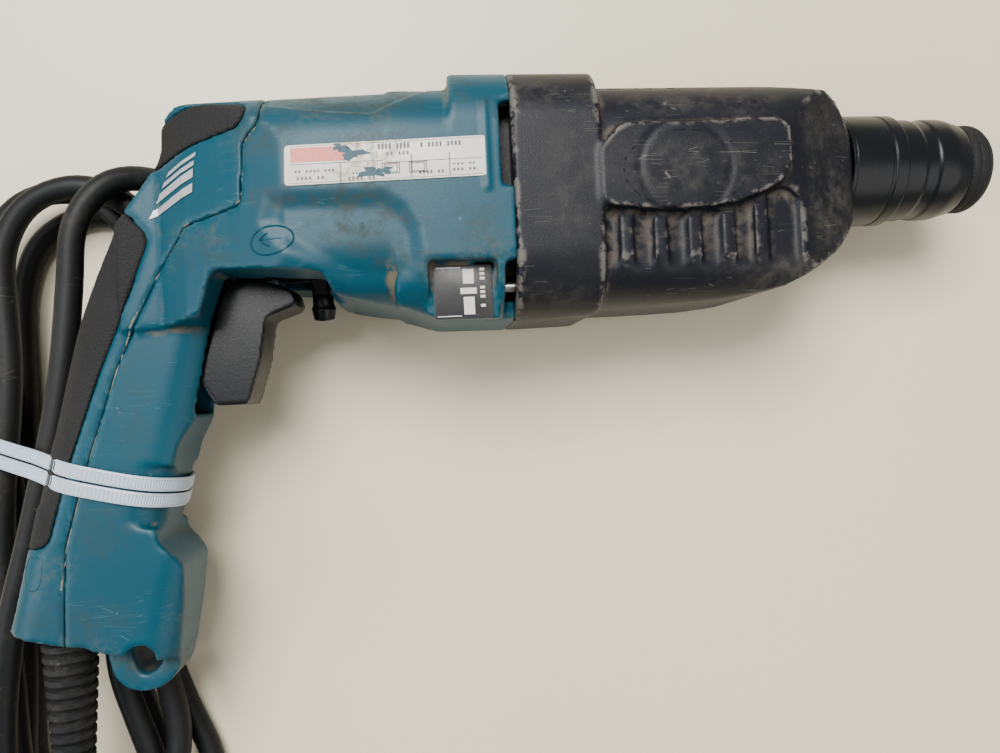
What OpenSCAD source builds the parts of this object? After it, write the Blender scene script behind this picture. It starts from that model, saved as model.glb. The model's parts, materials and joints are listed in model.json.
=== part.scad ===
// Corded rotary hammer with a pistol grip, lying on its left side.
// +X runs along the spindle to the nose, +Y is the top of the tool,
// +Z is the right side of the tool. Lengths in millimetres.

/* [Body] */
// Width of the tool between its side pads
body_w = 77; // [74:0.5:80]
// Height of the spindle axis above the belly of the motor housing
belly_h = 55; // [54:0.5:58]
// Height of the top ridge above the spindle axis
ridge_h = 31; // [30:0.2:36]
// Length of the gear housing
gear_len = 127; // [125:0.5:129]
// Depth of the side pads of the gear housing
pad_t = 2.5; // [1.5:0.5:3.5]
// Width of one side rib
rib_w = 4.8; // [4:0.2:6]
// Distance from rib to rib
rib_pitch = 11.7; // [11:0.1:12]

/* [Grip] */
// Width of the grip from side to side
grip_w = 34; // [31:0.5:36]
// Lean of the grip from the vertical
grip_lean = 13.5; // [12:0.5:15]
// Width of the trigger
trigger_w = 20; // [18:0.5:20.6]
// Travel of the trigger
trigger_travel = 6; // [4:0.5:6]

/* [Chuck] */
// Radius of the collar that a side handle grips
collar_r = 20.8; // [20.6:0.1:21.4]
// Radius of the pull-back chuck cover
sleeve_r = 19.2; // [18.6:0.1:19.3]
// Radius of the rubber front cap
cap_r = 16.8; // [16:0.1:17.5]
// Radius of the bore that takes the tool shank
bore_r = 5.05; // [5.02:0.01:5.15]
// Travel of the chuck cover
sleeve_travel = 8; // [6:0.5:8]

/* [Drive] */
// Teeth of the spindle gear
spindle_teeth = 44; // [44:1:44]
// Teeth of the drive pinion on the camshaft
pinion_teeth = 10; // [10:1:10]
// Teeth of the camshaft gear
cam_teeth = 33; // [33:1:33]
// Teeth cut on the armature shaft
armature_teeth = 9; // [9:1:9]

/* [Cord] */
// Diameter of the supply cord
cord_d = 9; // [8.5:0.1:9.5]

/* [Hidden] */
// fall of the back line towards the rear corner, degrees
back_slope = 2.6;
$fn = 48;
hw = body_w / 2;
// the origin of the design is on the spindle axis; the part is moved so that
// the middle of its box is over the origin and its left side rests at z = 0
shift = [-5.9, 70.8, hw];
arm_y = -8.1;
cam_y = -27;

// fillet arcs on the corners [x, y, radius] of an outline
function arc_pts(a, b, c, r) =
  let(u = (a - b) / norm(a - b), v = (c - b) / norm(c - b),
      half = acos(max(-1, min(1, u * v))) / 2)
  r <= 0 || half > 88.5 ? [b] :
  let(t = min(r / tan(half), 0.48 * norm(a - b), 0.48 * norm(c - b)), rr = t * tan(half),
      m = (u + v) / norm(u + v), o = b + m * (rr / sin(half)),
      s = b + u * t - o, e = b + v * t - o,
      a0 = atan2(s[1], s[0]), d0 = atan2(e[1], e[0]) - a0,
      d = d0 > 180 ? d0 - 360 : d0 < -180 ? d0 + 360 : d0,
      n = max(2, ceil(abs(d) / 15)))
  [for (i = [0 : n]) o + rr * [cos(a0 + d * i / n), sin(a0 + d * i / n)]];
function rounded(P) = let(n = len(P), q = [for (p = P) [p[0], p[1]]])
  [for (i = [0 : n - 1]) each arc_pts(q[(i + n - 1) % n], q[i], q[(i + 1) % n], P[i][2])];

// involute gear outline: module m, z teeth, thinned by b for backlash
function inv_pt(rb, t) = rb * [cos(t) + t * PI / 180 * sin(t), sin(t) - t * PI / 180 * cos(t)];
function turn(p, a) = [p[0] * cos(a) - p[1] * sin(a), p[0] * sin(a) + p[1] * cos(a)];
function gear_pts(m, z, b = 0.1) =
  let(rp = m * z / 2, rb = rp * cos(25), ra = rp + 0.8 * m, rf = rp - 1.0 * m,
      ta = sqrt(ra * ra / rb / rb - 1) * 180 / PI,
      tp = tan(25) * 180 / PI, ap = tp - 25, half = 90 / z - b / rp * 90 / PI + ap,
      rs = max(rb, rf), ts = rs > rb ? sqrt(rs * rs / rb / rb - 1) * 180 / PI : 0)
  [for (k = [0 : z - 1]) each concat(
    [turn([rf, 0], k * 360 / z - half - 1 / z)],
    [for (i = [0 : 3]) let(t = ts + (ta - ts) * i / 3, p = inv_pt(rb, t)) turn([p[0], p[1]], k * 360 / z - half)],
    [for (i = [3 : -1 : 0]) let(t = ts + (ta - ts) * i / 3, p = inv_pt(rb, t)) turn([p[0], -p[1]], k * 360 / z + half)],
    [turn([rf, 0], k * 360 / z + half + 1 / z)])];

// tube swept along a route with s sides
function unit(v) = v / norm(v);
function tangent(P, i) = unit(P[min(i + 1, len(P) - 1)] - P[max(i - 1, 0)]);
function frames(P, i = 1, n = [0, 0, 1], acc = []) =
  i > len(P) ? acc :
  let(t = tangent(P, i - 1), q = n - (n * t) * t, m = norm(q) < 0.01 ? unit(cross(t, [1, 0.2, 0])) : unit(q))
  frames(P, i + 1, m, concat(acc, [[m, cross(t, m)]]));
module sweep(P, r, s = 10) {
  F = frames(P);
  n = len(P);
  V = [for (i = [0 : n - 1]) each [for (k = [0 : s - 1]) P[i] + r * (cos(360 * k / s) * F[i][0] + sin(360 * k / s) * F[i][1])]];
  polyhedron(V, concat(
    [[for (k = [s - 1 : -1 : 0]) k]],
    [for (i = [0 : n - 2]) each [for (k = [0 : s - 1]) each [
      [i * s + k, i * s + (k + 1) % s, (i + 1) * s + (k + 1) % s],
      [i * s + k, (i + 1) * s + (k + 1) % s, (i + 1) * s + k]]]],
    [[for (k = [0 : s - 1]) (n - 1) * s + k]]));
}
function spline_pt(a, b, c, d, t) = 0.5 * (2 * b + (c - a) * t + (2 * a - 5 * b + 4 * c - d) * t * t + (3 * b - a - 3 * c + d) * t * t * t);
function spline(P, k) = concat([for (i = [0 : len(P) - 2]) each [for (j = [0 : k - 1])
  spline_pt(P[max(i - 1, 0)], P[i], P[i + 1], P[min(i + 2, len(P) - 1)], j / k)]], [P[len(P) - 1]]);
function helix(x0, x1, r, turns, n = 12) = [for (i = [0 : turns * n]) [x0 + (x1 - x0) * i / (turns * n), r * cos(360 * i / n), r * sin(360 * i / n)]];

module along_x(x0, x1) { translate([x0, 0, 0]) rotate([90, 0, 90]) linear_extrude(x1 - x0) children(); }
module along_y(y0, y1) { translate([0, y1, 0]) rotate([90, 0, 0]) linear_extrude(y1 - y0) children(); }
module flat(z0, z1) { translate([0, 0, z0]) linear_extrude(z1 - z0) children(); }
module rrect(x0, x1, y0, y1, r) {
  translate([x0 + r, y0]) square([x1 - x0 - 2 * r, y1 - y0]);
  translate([x0, y0 + r]) square([x1 - x0, y1 - y0 - 2 * r]);
  for (x = [x0 + r, x1 - r], y = [y0 + r, y1 - r]) translate([x, y]) circle(r);
}
module rod(x0, x1, r, y = 0, z = 0) { translate([x0, y, z]) rotate([0, 90, 0]) cylinder(h = x1 - x0, r = r); }
module tube(x0, x1, ro, ri, y = 0, z = 0) { difference() { rod(x0, x1, ro, y, z); rod(x0 - 1, x1 + 1, ri, y, z); } }
module turned(P, y = 0) { translate([0, y, 0]) rotate([0, 90, 0]) rotate_extrude() polygon(P); }
// room inside the grip for the switch, the wires and the cord clamp
module grip_hollow() { lean() translate([-25.4, -134.6, -10.8]) cube([34, 126.6, 21.6]); }
module lean() { translate([-112, -20, 0]) rotate([0, 0, -grip_lean]) children(); }

// ------------------------------------------------------------ outlines
side_outline = rounded([
  [0, -belly_h, 0], [-26, -belly_h + 0.6, 8], [-36.5, -50.4, 9], [-60, -45, 3], [-63, -38, 3], [-99, -35.5, 3],
  [-104, -50, 0], [-107.5, -66, 2], [-103.4, -70.5, 2], [-110, -82.5, 6], [-116, -92, 12], [-123.8, -123.5, 5],
  [-115.6, -132.5, 5], [-116.6, -146, 20], [-121, -175.8, 12], [-141, -176.2, 12], [-144.6, -158, 5],
  [-158, -156.6, 5], [-174.5, -155.7, 2], [-171, -145, 20], [-158.6, -87, 60], [-150, -54, 60], [-133, -18, 30],
  [-116.2, 5, 9], [-115.6, 18.8, 9], [-84, 22.3, 60], [-25, 25.2, 12], [-18, ridge_h - 0.4, 8], [0, ridge_h, 0]]);
// region behind the seam of the handle cover
cover_outline = rounded([
  [-80.6, 60, 0], [-80.8, 10, 6], [-86.5, 4.5, 6], [-87.6, -16, 4], [-107, -20.3, 5], [-118, -33, 12], [-134.5, -66, 60],
  [-146.5, -103, 60], [-152.6, -124, 30], [-155, -180, 0], [-200, -180, 0], [-200, 60, 0]]);
gear_outline = rounded([
  [0, -belly_h, 0], [27.5, -belly_h + 0.8, 2], [29.5, -52, 2], [72, -50.4, 60], [95, -47.6, 30], [117, -34, 20],
  [gear_len, -21, 14], [gear_len, 4, 18], [117, 21, 14], [90, 25.4, 40], [33, 26.4, 2], [30.4, ridge_h - 0.6, 2], [0, ridge_h, 0]]);
pad_outline = rounded([[29, -19.5, 4], [50, -21.8, 60], [74, -20.6, 50], [94.4, -12, 12], [94.4, 8.5, 5], [36, 7.6, 8], [29, -1, 6]]);

module plan_motor(d) { polygon([[0.5, -hw + 1 + d], [-74, -hw + 1 + d], [-90, -33 + d], [-108, -26 + d], [-118, -19 + d], [-180, -19 + d],
  [-180, 19 - d], [-118, 19 - d], [-108, 26 - d], [-90, 33 - d], [-74, hw - 1 - d], [0.5, hw - 1 - d]]); }
module body_solid(d = 0) {
  intersection() {
    flat(-50, 50) polygon(side_outline);
    // rounded along the ridge, the back and the belly, each at its own height
    union() {
      along_x(-20 + d, 0) rrect(-belly_h + d, ridge_h + 0.3 - d, -hw + 1 + d, hw - 1 - d, 22);
      along_x(-40 + d, -17) rrect(-belly_h + d, 25.6 - d, -hw + 1 + d, hw - 1 - d, 21);
      translate([-25, 25.6, 0]) rotate([0, 0, back_slope]) translate([25, -25.6, 0])
        along_x(-135 + 2 * d, -30) rrect(-48.5 + d, 25.6 - d, -hw + 1 + d, hw - 1 - d, 21);
    }
    along_y(-60, 60) plan_motor(d);
  }
}
module grip_solid(d = 0) {
  intersection() {
    flat(-50, 50) polygon(side_outline);
    lean() {
      along_y(-79, 5) rrect(-30.6 + d, 18.5, -grip_w / 2 + d, grip_w / 2 - d, 14.5);
      along_y(-101, -78) rrect(-30.6 + d, 13.8, -grip_w / 2 + d, grip_w / 2 - d, 13.5);
      along_y(-143, -100) rrect(-30.8 + d, 27.5, -grip_w / 2 + d, grip_w / 2 - d, 12);
    }
  }
}
module hook_solid() {
  intersection() {
    flat(-9, 9) polygon(side_outline);
    translate([-160, -180, -9]) cube([60, 45, 18]);
  }
}
module shell_all() { body_solid(); grip_solid(); hook_solid(); }

// ------------------------------------------------------------ housings
module motor_housing() color("teal") {
  difference() {
    union() {
      difference() { shell_all(); flat(-60, 60) polygon(cover_outline); }
      // finger guard ahead of the reversing lever
      flat(-13, 13) polygon(rounded([[-64, -36, 0], [-62.5, -44, 3], [-58, -48, 2], [-55.5, -42, 3], [-57, -36, 0]]));
      // flat boss under the serial label
      intersection() {
        flat(24, 31) polygon(side_outline);
        translate([-30, -56, 24]) cube([24, 21, 7]);
      }
      // flat panel on the left side that the tool rests on
      flat(-hw, -hw + 4) polygon(rounded([[-72, -30, 4], [-10, -30, 4], [-10, 6, 4], [-72, 6, 4]]));
    }
    rod(-79, -13, 26.5, arm_y);
    along_x(-14, 1) rrect(-49, 27.5, -31, 31, 14);
    rod(-99, -78, 26, arm_y);
    rod(-108, -90, 9.55, arm_y);
    // slot for the reversing lever
    translate([-85, -60, -15]) cube([20, 29, 30]);
    // hollow of the grip
    grip_hollow();
    translate([-125, -82, -10.8]) cube([56, 47.5, 21.6]);
    // air outlets at the joint, both sides
    for (s = [-1, 1]) {
      translate([-3.9, -12, s > 0 ? 28 : -50]) cube([5, 28, 22]);
      translate([-3.9, -56, s > 0 ? 22 : -50]) cube([5, 19.5, 28]);
    }
    // panel of the small label
    translate([-29, -57, 31]) cube([22.5, 21, 20]);
    // hole for the cord guard, hook hole and lock button hole
    translate([-159.5, -140, 0]) rotate([90, 0, 0]) cylinder(h = 30, r = 6.2);
    flat(-20, 20) polygon(rounded([[-137, -159.5, 5], [-126, -157.5, 4], [-125.5, -168, 5], [-133, -171.5, 5]]));
    translate([-108.5, -52, -25]) cylinder(h = 20, r = 4.8);
    // screw holes of the gear housing
    for (y = [-43.6, 20.2], z = [-22.4, 22.4]) rod(-16, 1, 2.1, y, z);
  }
}
module cover_solid(d = 0) {
  intersection() { union() { body_solid(d); grip_solid(d); } flat(-60, 60) polygon(cover_outline); }
}
module rear_pad_area() { flat(-60, 60) polygon(rounded([[-121, -22, 6], [-128.5, -41, 30], [-140.5, -69, 60], [-151.5, -100, 40], [-158, -124, 5],
  [-180, -126, 0], [-180, -15, 0], [-133, -10, 4]])); }
module top_pad_area() { flat(-60, 60) polygon(rounded([[-130, -4, 0], [-104, 5.6, 30], [-87, 9.5, 6], [-84, 18, 5], [-104, 19.5, 30], [-121, 12, 6]])); }
module handle_cover() color("teal") {
  difference() {
    cover_solid();
    intersection() { difference() { cover_solid(); translate([2, 0, 0]) cover_solid(1.6); } union() { rear_pad_area(); top_pad_area(); } }
    rod(-99, -78, 26, arm_y);
    rod(-107, -90, 9.55, arm_y);
    grip_hollow();
    translate([-159.5, -140, 0]) rotate([90, 0, 0]) cylinder(h = 30, r = 6.2);
    for (y = [7.4, -15.4], z = [-14, 14]) { rod(-125, -70, 1.9, y, z); rod(-135, -106, 3.6, y, z); }
  }
}
module rear_grip_pad() color("dimgray") {
  intersection() { difference() { cover_solid(); translate([2, 0, 0]) cover_solid(1.6); } rear_pad_area(); }
}
module top_grip_pad() color("dimgray") {
  difference() {
    intersection() { difference() { cover_solid(); translate([2, 0, 0]) cover_solid(1.6); } top_pad_area(); }
    rear_pad_area();
    for (y = [8], z = [-14, 14]) rod(-135, -106, 3.6, y, z);
  }
}
module silver_stripes() color("silver") {
  for (s = [0, 1]) mirror([0, 0, s]) intersection() {
    union() {
      flat(0, 60) polygon([[-121, -16.5], [-104.2, -9.8], [-104, -6.9], [-119.5, -13.6]]);
      flat(0, 60) polygon([[-118.4, -11.2], [-103.8, -5], [-103.6, -2.2], [-117, -8.2]]);
      flat(0, 60) polygon([[-116, -6.6], [-103.4, -1.2], [-103.2, 0.3], [-115, -4.9]]);
      flat(0, 60) polygon([[-114, -3.4], [-102.6, 1.8], [-102.4, 3], [-113, -1.8]]);
    }
    difference() { translate([0, 0, 0.4]) body_solid(); body_solid(); }
  }
}
module gear_housing() color("dimgray") {
  difference() {
    union() {
      intersection() {
        flat(-50, 50) polygon(gear_outline);
        union() { along_x(0, 30) rrect(-belly_h, ridge_h + 0.3, -hw + 3, hw - 3, 22); along_x(29, 128) rrect(-51.6, 26.6, -hw + 3, hw - 3, 21); }
        along_y(-60, 60) polygon(rounded([[0, -hw + 3, 0], [98, -hw + 3, 26], [gear_len, -21, 9], [128, 0, 0], [gear_len, 21, 9], [98, hw - 3, 26], [0, hw - 3, 0]]));
      }
      intersection() {
        flat(-50, 50) polygon(gear_outline);
        along_x(0, 29.5) rrect(-belly_h, ridge_h + 0.3, -hw + 1, hw - 1, 22);
      }
      flat(hw - 6, hw) polygon(pad_outline);
      flat(-hw, -hw + 6) polygon(pad_outline);
    }
    // side recesses that leave the ribs standing
    for (s = [0, 1]) mirror([0, 0, s]) difference() {
      flat(32.6, 60) polygon(rounded([[30.2, -20, 1], [50, -22.3, 60], [74, -21, 50], [98, -12, 6], [98, -56, 0], [26, -60, 0], [30.2, -41, 2]]));
      for (i = [0 : 4]) flat(30, 34.6) polygon([[35 + i * rib_pitch, -15], [35 + i * rib_pitch + rib_w, -15], [35 + i * rib_pitch + rib_w, -40], [30 + i * rib_pitch + rib_w, -60], [30 + i * rib_pitch, -60], [35 + i * rib_pitch, -40]]);
      flat(30, 60) polygon(pad_outline);
    }
    // gearbox chamber, spindle bearing seat and nose bore
    along_x(-1, 98) rrect(-46, 23.5, -28, 28, 12);
    rod(97, 114.2, 19.05);
    rod(97, 122, 19.05);
    rod(97, 130, 15.2);
    // seat of the mode knob on the left side
    translate([64, -6.6, -60]) cylinder(h = 60 - 33, r = 17.2);
    translate([64, -6.6, -60]) cylinder(h = 40, r = 4.2);
    // four housing screws
    for (y = [-43.6, 20.2], z = [-22.4, 22.4]) rod(-2, 22, 2.1, y, z);
    for (y = [-43.6, 20.2], z = [-22.4, 22.4]) rod(19.9, 60, 4.2, y, z);
  }
  // post of the front camshaft bearing
  difference() {
    along_x(68.2, 76) rrect(-47, -17.2, -14, 14, 4);
    rod(60, 80, 9.55, cam_y);
  }
}
module inner_housing() color("silver") {
  difference() {
    along_x(-12, 12) rrect(-45.5, 21, -27, 27, 12);
    rod(-13, -3.5, 11.05, arm_y);
    rod(-4, 13, 6.6, arm_y);
    rod(3.8, 13, 9.55, cam_y);
    rod(3, 13, 7.6, cam_y);
    rod(-13, 2, 5, 12, 0);
    for (y = [-43.6, 20.2], z = [-22.4, 22.4]) rod(-14, 14, 4.6, y, z);
  }
}
module barrel_collar() color([0.1, 0.1, 0.1]) turned([
  [15.2, 127.02], [collar_r - 0.8, 127.02], [collar_r, 127.8], [collar_r, 148.2], [collar_r - 0.5, 148.9], [19.6, 148.9], [19.6, 138], [15.2, 138]]);
module screw_x(x, y, z, len, rs = 2, rh = 3.6, hh = 3) {
  rod(x - len, x, rs, y, z);
  difference() { rod(x, x + hh, rh, y, z); translate([x + hh - 1.2, y - 0.5, z - 2.6]) cube([3, 1, 5.2]); translate([x + hh - 1.2, y - 2.6, z - 0.5]) cube([3, 5.2, 1]); }
}
module gear_housing_screws() color("silver") for (y = [-43.6, 20.2], z = [-22.4, 22.4]) screw_x(20, y, z, 34);
module cover_screws() color("silver") for (y = [7.4, -15.4], z = [-14, 14]) mirror([1, 0, 0]) screw_x(106, y, z, 7.4, 1.8, 3.4);
module rating_label() color("white") flat(hw - 1, hw - 0.6) polygon(rounded([[-73, -11, 2], [-8.6, -9, 2], [-8.6, 4, 2], [-73, 1.6, 2]]));
module serial_label() color([0.12, 0.12, 0.12]) flat(31, 31.4) polygon(rounded([[-27.5, -54.8, 1.5], [-8, -54.8, 1.5], [-8, -37, 1.5], [-27.5, -37, 1.5]]));

// ------------------------------------------------------------ motor
module stator() color("gray") difference() {
  rod(-62, -34, 26.3, arm_y);
  rod(-63, -33, 16.4, arm_y);
  for (s = [-1, 1]) translate([-63, arm_y - 8, s > 0 ? 12 : -21]) cube([30, 16, 9]);
}
module field_coils() color("chocolate") for (x = [-67.6, -34]) intersection() {
  tube(x, x + 5.6, 23.6, 17, arm_y);
  union() { translate([x - 1, arm_y + 8.6, -30]) cube([9, 30, 60]); translate([x - 1, arm_y - 38.6, -30]) cube([9, 30, 60]); }
}
module bearing(x0, x1, ri, ro, y) {
  tube(x0, x1, ro, ro - 1.8, y);
  tube(x0, x1, ri + 1.6, ri, y);
  tube(x0 + 0.6, x1 - 0.6, ro - 1.75, ri + 1.55, y);
}
module rear_bearing() color("silver") bearing(-106, -100, 4, 9.5, arm_y);
module front_bearing() color("silver") bearing(-11, -4, 4, 11, arm_y);
module armature_shaft() color("silver") {
  rod(-107, -99.9, 3.95, arm_y);
  rod(-99.95, -11.2, 5, arm_y);
  rod(-11.3, 12, 3.95, arm_y);
  translate([11.5, arm_y, 0]) rotate([0, 90, 0]) rotate([0, 0, 180 / armature_teeth]) linear_extrude(11) polygon(gear_pts(0.9, armature_teeth));
}
module armature_core() color("gray") {
  difference() {
    rod(-64, -34.6, 15.9, arm_y);
    rod(-65, -33, 5.02, arm_y);
    for (i = [0 : 9]) translate([0, arm_y, 0]) rotate([i * 36, 0, 0]) translate([-65, -1, 14.3]) cube([32, 2, 3]);
  }
  tube(-72, -64, 13.6, 5.02, arm_y);
  tube(-34.6, -29, 13.6, 5.02, arm_y);
}
module commutator() color("peru") difference() {
  tube(-96, -84, 11, 5.02, arm_y);
  for (i = [0 : 19]) translate([0, arm_y, 0]) rotate([i * 18, 0, 0]) translate([-97, -0.25, 10.3]) cube([14, 0.5, 1]);
}
module fan() color([0.15, 0.15, 0.15]) difference() {
  union() {
    tube(-25, -23.4, 25.4, 5.02, arm_y);
    tube(-25, -15, 8, 5.02, arm_y);
    for (i = [0 : 11]) translate([0, arm_y, 0]) rotate([i * 30, 0, 0]) translate([-23.5, -0.8, 10]) cube([7.5, 1.6, 15]);
  }
}
module baffle_plate() color([0.2, 0.2, 0.2]) tube(-28, -26.4, 26.3, 17, arm_y);
module brush_frame(a) { translate([0, arm_y, 0]) rotate([a, 0, 0]) children(); }
module brush_holders() color("goldenrod") for (a = [0, 180]) brush_frame(a) difference() {
  translate([-95, -4.4, 12.4]) cube([10, 8.8, 10]);
  translate([-93.6, -3.05, 10]) cube([7.2, 6.1, 14]);
}
module carbon_brushes() color([0.15, 0.15, 0.15]) for (a = [0, 180]) brush_frame(a) translate([-93.5, -3, 11.1]) cube([7, 6, 10.6]);

// ------------------------------------------------------------ controls
module reversing_lever() color([0.1, 0.1, 0.1]) {
  tube(-84.4, -81.6, 24.6, 17, arm_y);
  tube(-96, -84.4, 24.6, 23, arm_y);
  translate([0, arm_y, 0]) rotate([14, 0, 0]) {
    translate([-84, -27.6, -3.5]) cube([2.4, 7, 7]);
    translate([-84, -27.6, -3.5]) cube([17.4, 2.6, 7]);
    translate([-72.2, -37, -3]) cube([6, 11.5, 6]);
    translate([-68.7, -33, 0]) rotate([90, 0, 0]) cylinder(h = 9.2, r = 3.9);
    for (i = [0 : 2]) translate([-68.7, -37.4 - 1.6 * i, 0]) rotate([90, 0, 0]) cylinder(h = 1, r = 4.6 - 0.3 * i);
  }
}
trigger_outline = rounded([[-110, -70.5, 2], [-104.8, -53.5, 6], [-101.6, -41, 5], [-96, -35.6, 5], [-86, -36.4, 20], [-75.4, -40.6, 3], [-75, -45.6, 2],
  [-85.4, -49.4, 4], [-88, -65, 20], [-92.6, -79.6, 2], [-104.6, -79.6, 3]]);
module trigger() color([0.1, 0.1, 0.1]) difference() {
  union() {
    flat(-trigger_w / 2, trigger_w / 2) polygon(trigger_outline);
    flat(-8, 8) polygon([[-113, -70], [-104, -70], [-99, -48], [-109, -48]]);
  }
  rod(-116, -108, 4.2, -58.5);
}
module trigger_spring() color("silver") translate([0, -58.5, 0]) sweep(helix(-118.9, -108.5, 3.1, 4), 0.35, 6);
module switch_body() color([0.2, 0.2, 0.2]) {
  translate([-131, -79, -9]) cube([11.6, 32, 18]);
  for (z = [-5, 5]) translate([-127, -84, z - 1]) cube([4, 5.1, 2]);
}
module lock_button() color([0.1, 0.1, 0.1]) {
  translate([-108.5, -52, -19.6]) cylinder(h = 3.2, r = 4.5);
  translate([-108.5, -52, -16.5]) cylinder(h = 3.1, r = 3.4);
}
module capacitor() color("khaki") difference() { translate([-150, -121, -5]) cube([11, 18, 10]); translate([-151, -104, -6]) cube([3, 3, 12]); }
module change_lever() color([0.1, 0.1, 0.1]) difference() {
  union() {
    translate([64, -6.6, -34.6]) cylinder(h = 1.4, r = 16.8);
    translate([64, -6.6, -36.4]) cylinder(h = 2, r = 12);
    translate([64, -6.6, -34]) cylinder(h = 10, r = 4);
    flat(-37.9, -34.5) polygon(rounded([[60, -2.5, 3], [60, -20, 3], [68, -20, 3], [68, 6.5, 3], [60, 6.5, 3]]));
    translate([66.2, -6.6, -24]) cylinder(h = 3, r = 1.5);
  }
  translate([64, -14.6, -40]) cylinder(h = 6.2, r = 2.55);
}
module change_lever_button() color("firebrick") { translate([64, -14.6, -38.2]) cylinder(h = 2.7, r = 2.45); }

// ------------------------------------------------------------ gearbox
module camshaft() color("silver") {
  rod(4, 11.6, 3.45, cam_y);
  rod(11.6, 50.9, 5, cam_y);
  rod(50.9, 76, 2.98, cam_y);
}
module gear(x, w, m, z, ri, y, a = 0) { difference() { translate([x, y, 0]) rotate([0, 90, 0]) rotate([0, 0, a]) linear_extrude(w) polygon(gear_pts(m, z)); rod(x - 1, x + w + 1, ri, y); } }
module cam_gear() color("silver") difference() {
  gear(13.2, 7.6, 0.9, cam_teeth, 5.02, cam_y);
  for (i = [0 : 5]) translate([0, cam_y, 0]) rotate([i * 60, 0, 0]) rod(12, 22, 1.8, 0, 9.3);
}
module drive_pinion() color("silver") gear(51, 10, 1, pinion_teeth, 3.01, cam_y);
module swash_hub() color("silver") difference() {
  union() { tube(25, 43, 10.4, 5.02, cam_y); tube(25, 28, 12, 5.02, cam_y); tube(40, 43, 12, 5.02, cam_y); }
}
module swash_ring() color("gray") {
  tube(31, 37, 17, 12.6, cam_y);
  translate([34, cam_y + 15.4, 0]) rotate([-90, 0, 0]) cylinder(h = 17, r = 2.5);
  for (z = [-18.6, 15.6]) translate([34, cam_y, z]) cylinder(h = 3, r = 2.4);
}
module camshaft_bearings() color("silver") { bearing(4.4, 10.4, 3.5, 9.5, cam_y); bearing(68.6, 74.6, 3.02, 9.5, cam_y); }
module piston_cylinder() color("silver") difference() {
  union() {
    rod(44, 90, 13.5);
    intersection() { rod(27.5, 45, 13.5); union() { translate([27.5, -7, 5.6]) cube([18, 14, 5]); translate([27.5, -7, -10.6]) cube([18, 14, 5]); } }
  }
  rod(50, 91, 11);
  translate([34, 0, -20]) cylinder(h = 40, r = 4.04);
}
module piston_pin() color("silver") difference() {
  translate([34, 0, -10.4]) cylinder(h = 20.8, r = 4);
  translate([34, -8, 0]) rotate([-90, 0, 0]) cylinder(h = 16, r = 2.75);
}
module striker() color("silver") turned([[0, 60.4], [10.4, 60.4], [10.9, 61], [10.9, 66], [9.6, 66], [9.6, 68.6], [10.9, 68.6], [10.9, 79], [10, 80], [6, 80], [6, 87.4], [5.4, 88], [0, 88]]);
module striker_ring() color([0.1, 0.1, 0.1]) turned([[9.65, 66.1], [10.94, 66.1], [10.94, 68.5], [9.65, 68.5]]);
module impact_bolt() color("silver") turned([[0, 93.2], [5.6, 93.2], [6, 93.8], [6, 98], [7.95, 98.4], [7.95, 106], [6, 107], [5.5, 107.6], [5.5, 123], [4.8, 124], [0, 124]]);
module tool_holder() color("silver") difference() {
  turned([[13.6, 51], [16, 51], [16, 97], [14, 99], [14, 123], [13, 124], [13, 136], [10.8, 136], [10.8, 184.4], [9.8, 185.4], [bore_r + 0.6, 185.4], [bore_r, 184.8],
    [bore_r, 164.5], [bore_r + 0.6, 164.1], [bore_r + 0.6, 113], [8.05, 113], [8.05, 96.4], [13.6, 96.4]]);
  for (s = [-1, 1]) translate([158, 0, 0]) rotate([90, 0, 0]) translate([0, 0, s > 0 ? 0 : -14]) cylinder(h = 14, r = 3.58);
  for (a = [90, 270]) rotate([a, 0, 0]) translate([140, bore_r - 1.2, -1.3]) cube([24, 2.6, 2.6]);
}
module spindle_gear() color("silver") gear(52, 8, 1, spindle_teeth, 16.03, 0);
module spindle_bearing() color("silver") bearing(104, 114, 14.05, 19, 0);
module oil_seal() color([0.1, 0.1, 0.1]) tube(116, 121, 19, 14.15);
module locking_ball_upper() color("silver") translate([158, 7.25, 0]) sphere(3.5);
module locking_ball_lower() color("silver") translate([158, -7.25, 0]) sphere(3.5);
module chuck_sleeve() color([0.1, 0.1, 0.1]) turned([
  [17.6, 146.6], [sleeve_r, 146.6], [sleeve_r, 169.5], [17.3, 176], [12.6, 176], [12.6, 173.5], [13.2, 172.8], [13, 167.6], [11, 158.6], [11, 155], [14.6, 155], [14.6, 154], [17.6, 151.5]]);
module sleeve_spring() color("silver") sweep(helix(137.1, 153.9, 12.4, 4, 14), 0.8, 6);
module retaining_ring() color("silver") tube(174, 175.4, 12.2, 10.82);
module front_cap() color([0.1, 0.1, 0.1]) turned([
  [10.82, 176.4], [16.2, 176.4], [cap_r, 178], [cap_r, 183.4], [cap_r - 1.4, 185.4], [13, 186.4], [6.6, 186.4], [6, 186], [6, 185.6], [10.82, 185.6]]);

// ------------------------------------------------------------ cord
module cord_clamp() color([0.2, 0.2, 0.2]) difference() {
  translate([-166.5, -144, 4.7]) cube([15, 4.4, 4]);
  for (x = [-165, -153.4]) translate([x, -141.8, 0]) cylinder(h = 12, r = 1.3);
}
module clamp_screws() color("silver") for (x = [-165, -153.4]) translate([x, -141.8, -10.6]) { cylinder(h = 19.5, r = 1.2); translate([0, 0, 19.32]) cylinder(h = 1.8, r = 1.6); }
module cord_guard() color([0.08, 0.08, 0.08]) difference() {
  translate([-159.5, 0, 0]) rotate([-90, 0, 0]) rotate_extrude() polygon([[0, -214], [5.6, -214], [6.6, -200], [8.4, -176], [9.2, -157.6], [9.2, -157.1], [6.1, -157.1], [6.1, -150], [0, -150]]);
  translate([-159.5, -149, 0]) rotate([90, 0, 0]) cylinder(h = 70, r = cord_d / 2 + 0.02);
}
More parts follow.
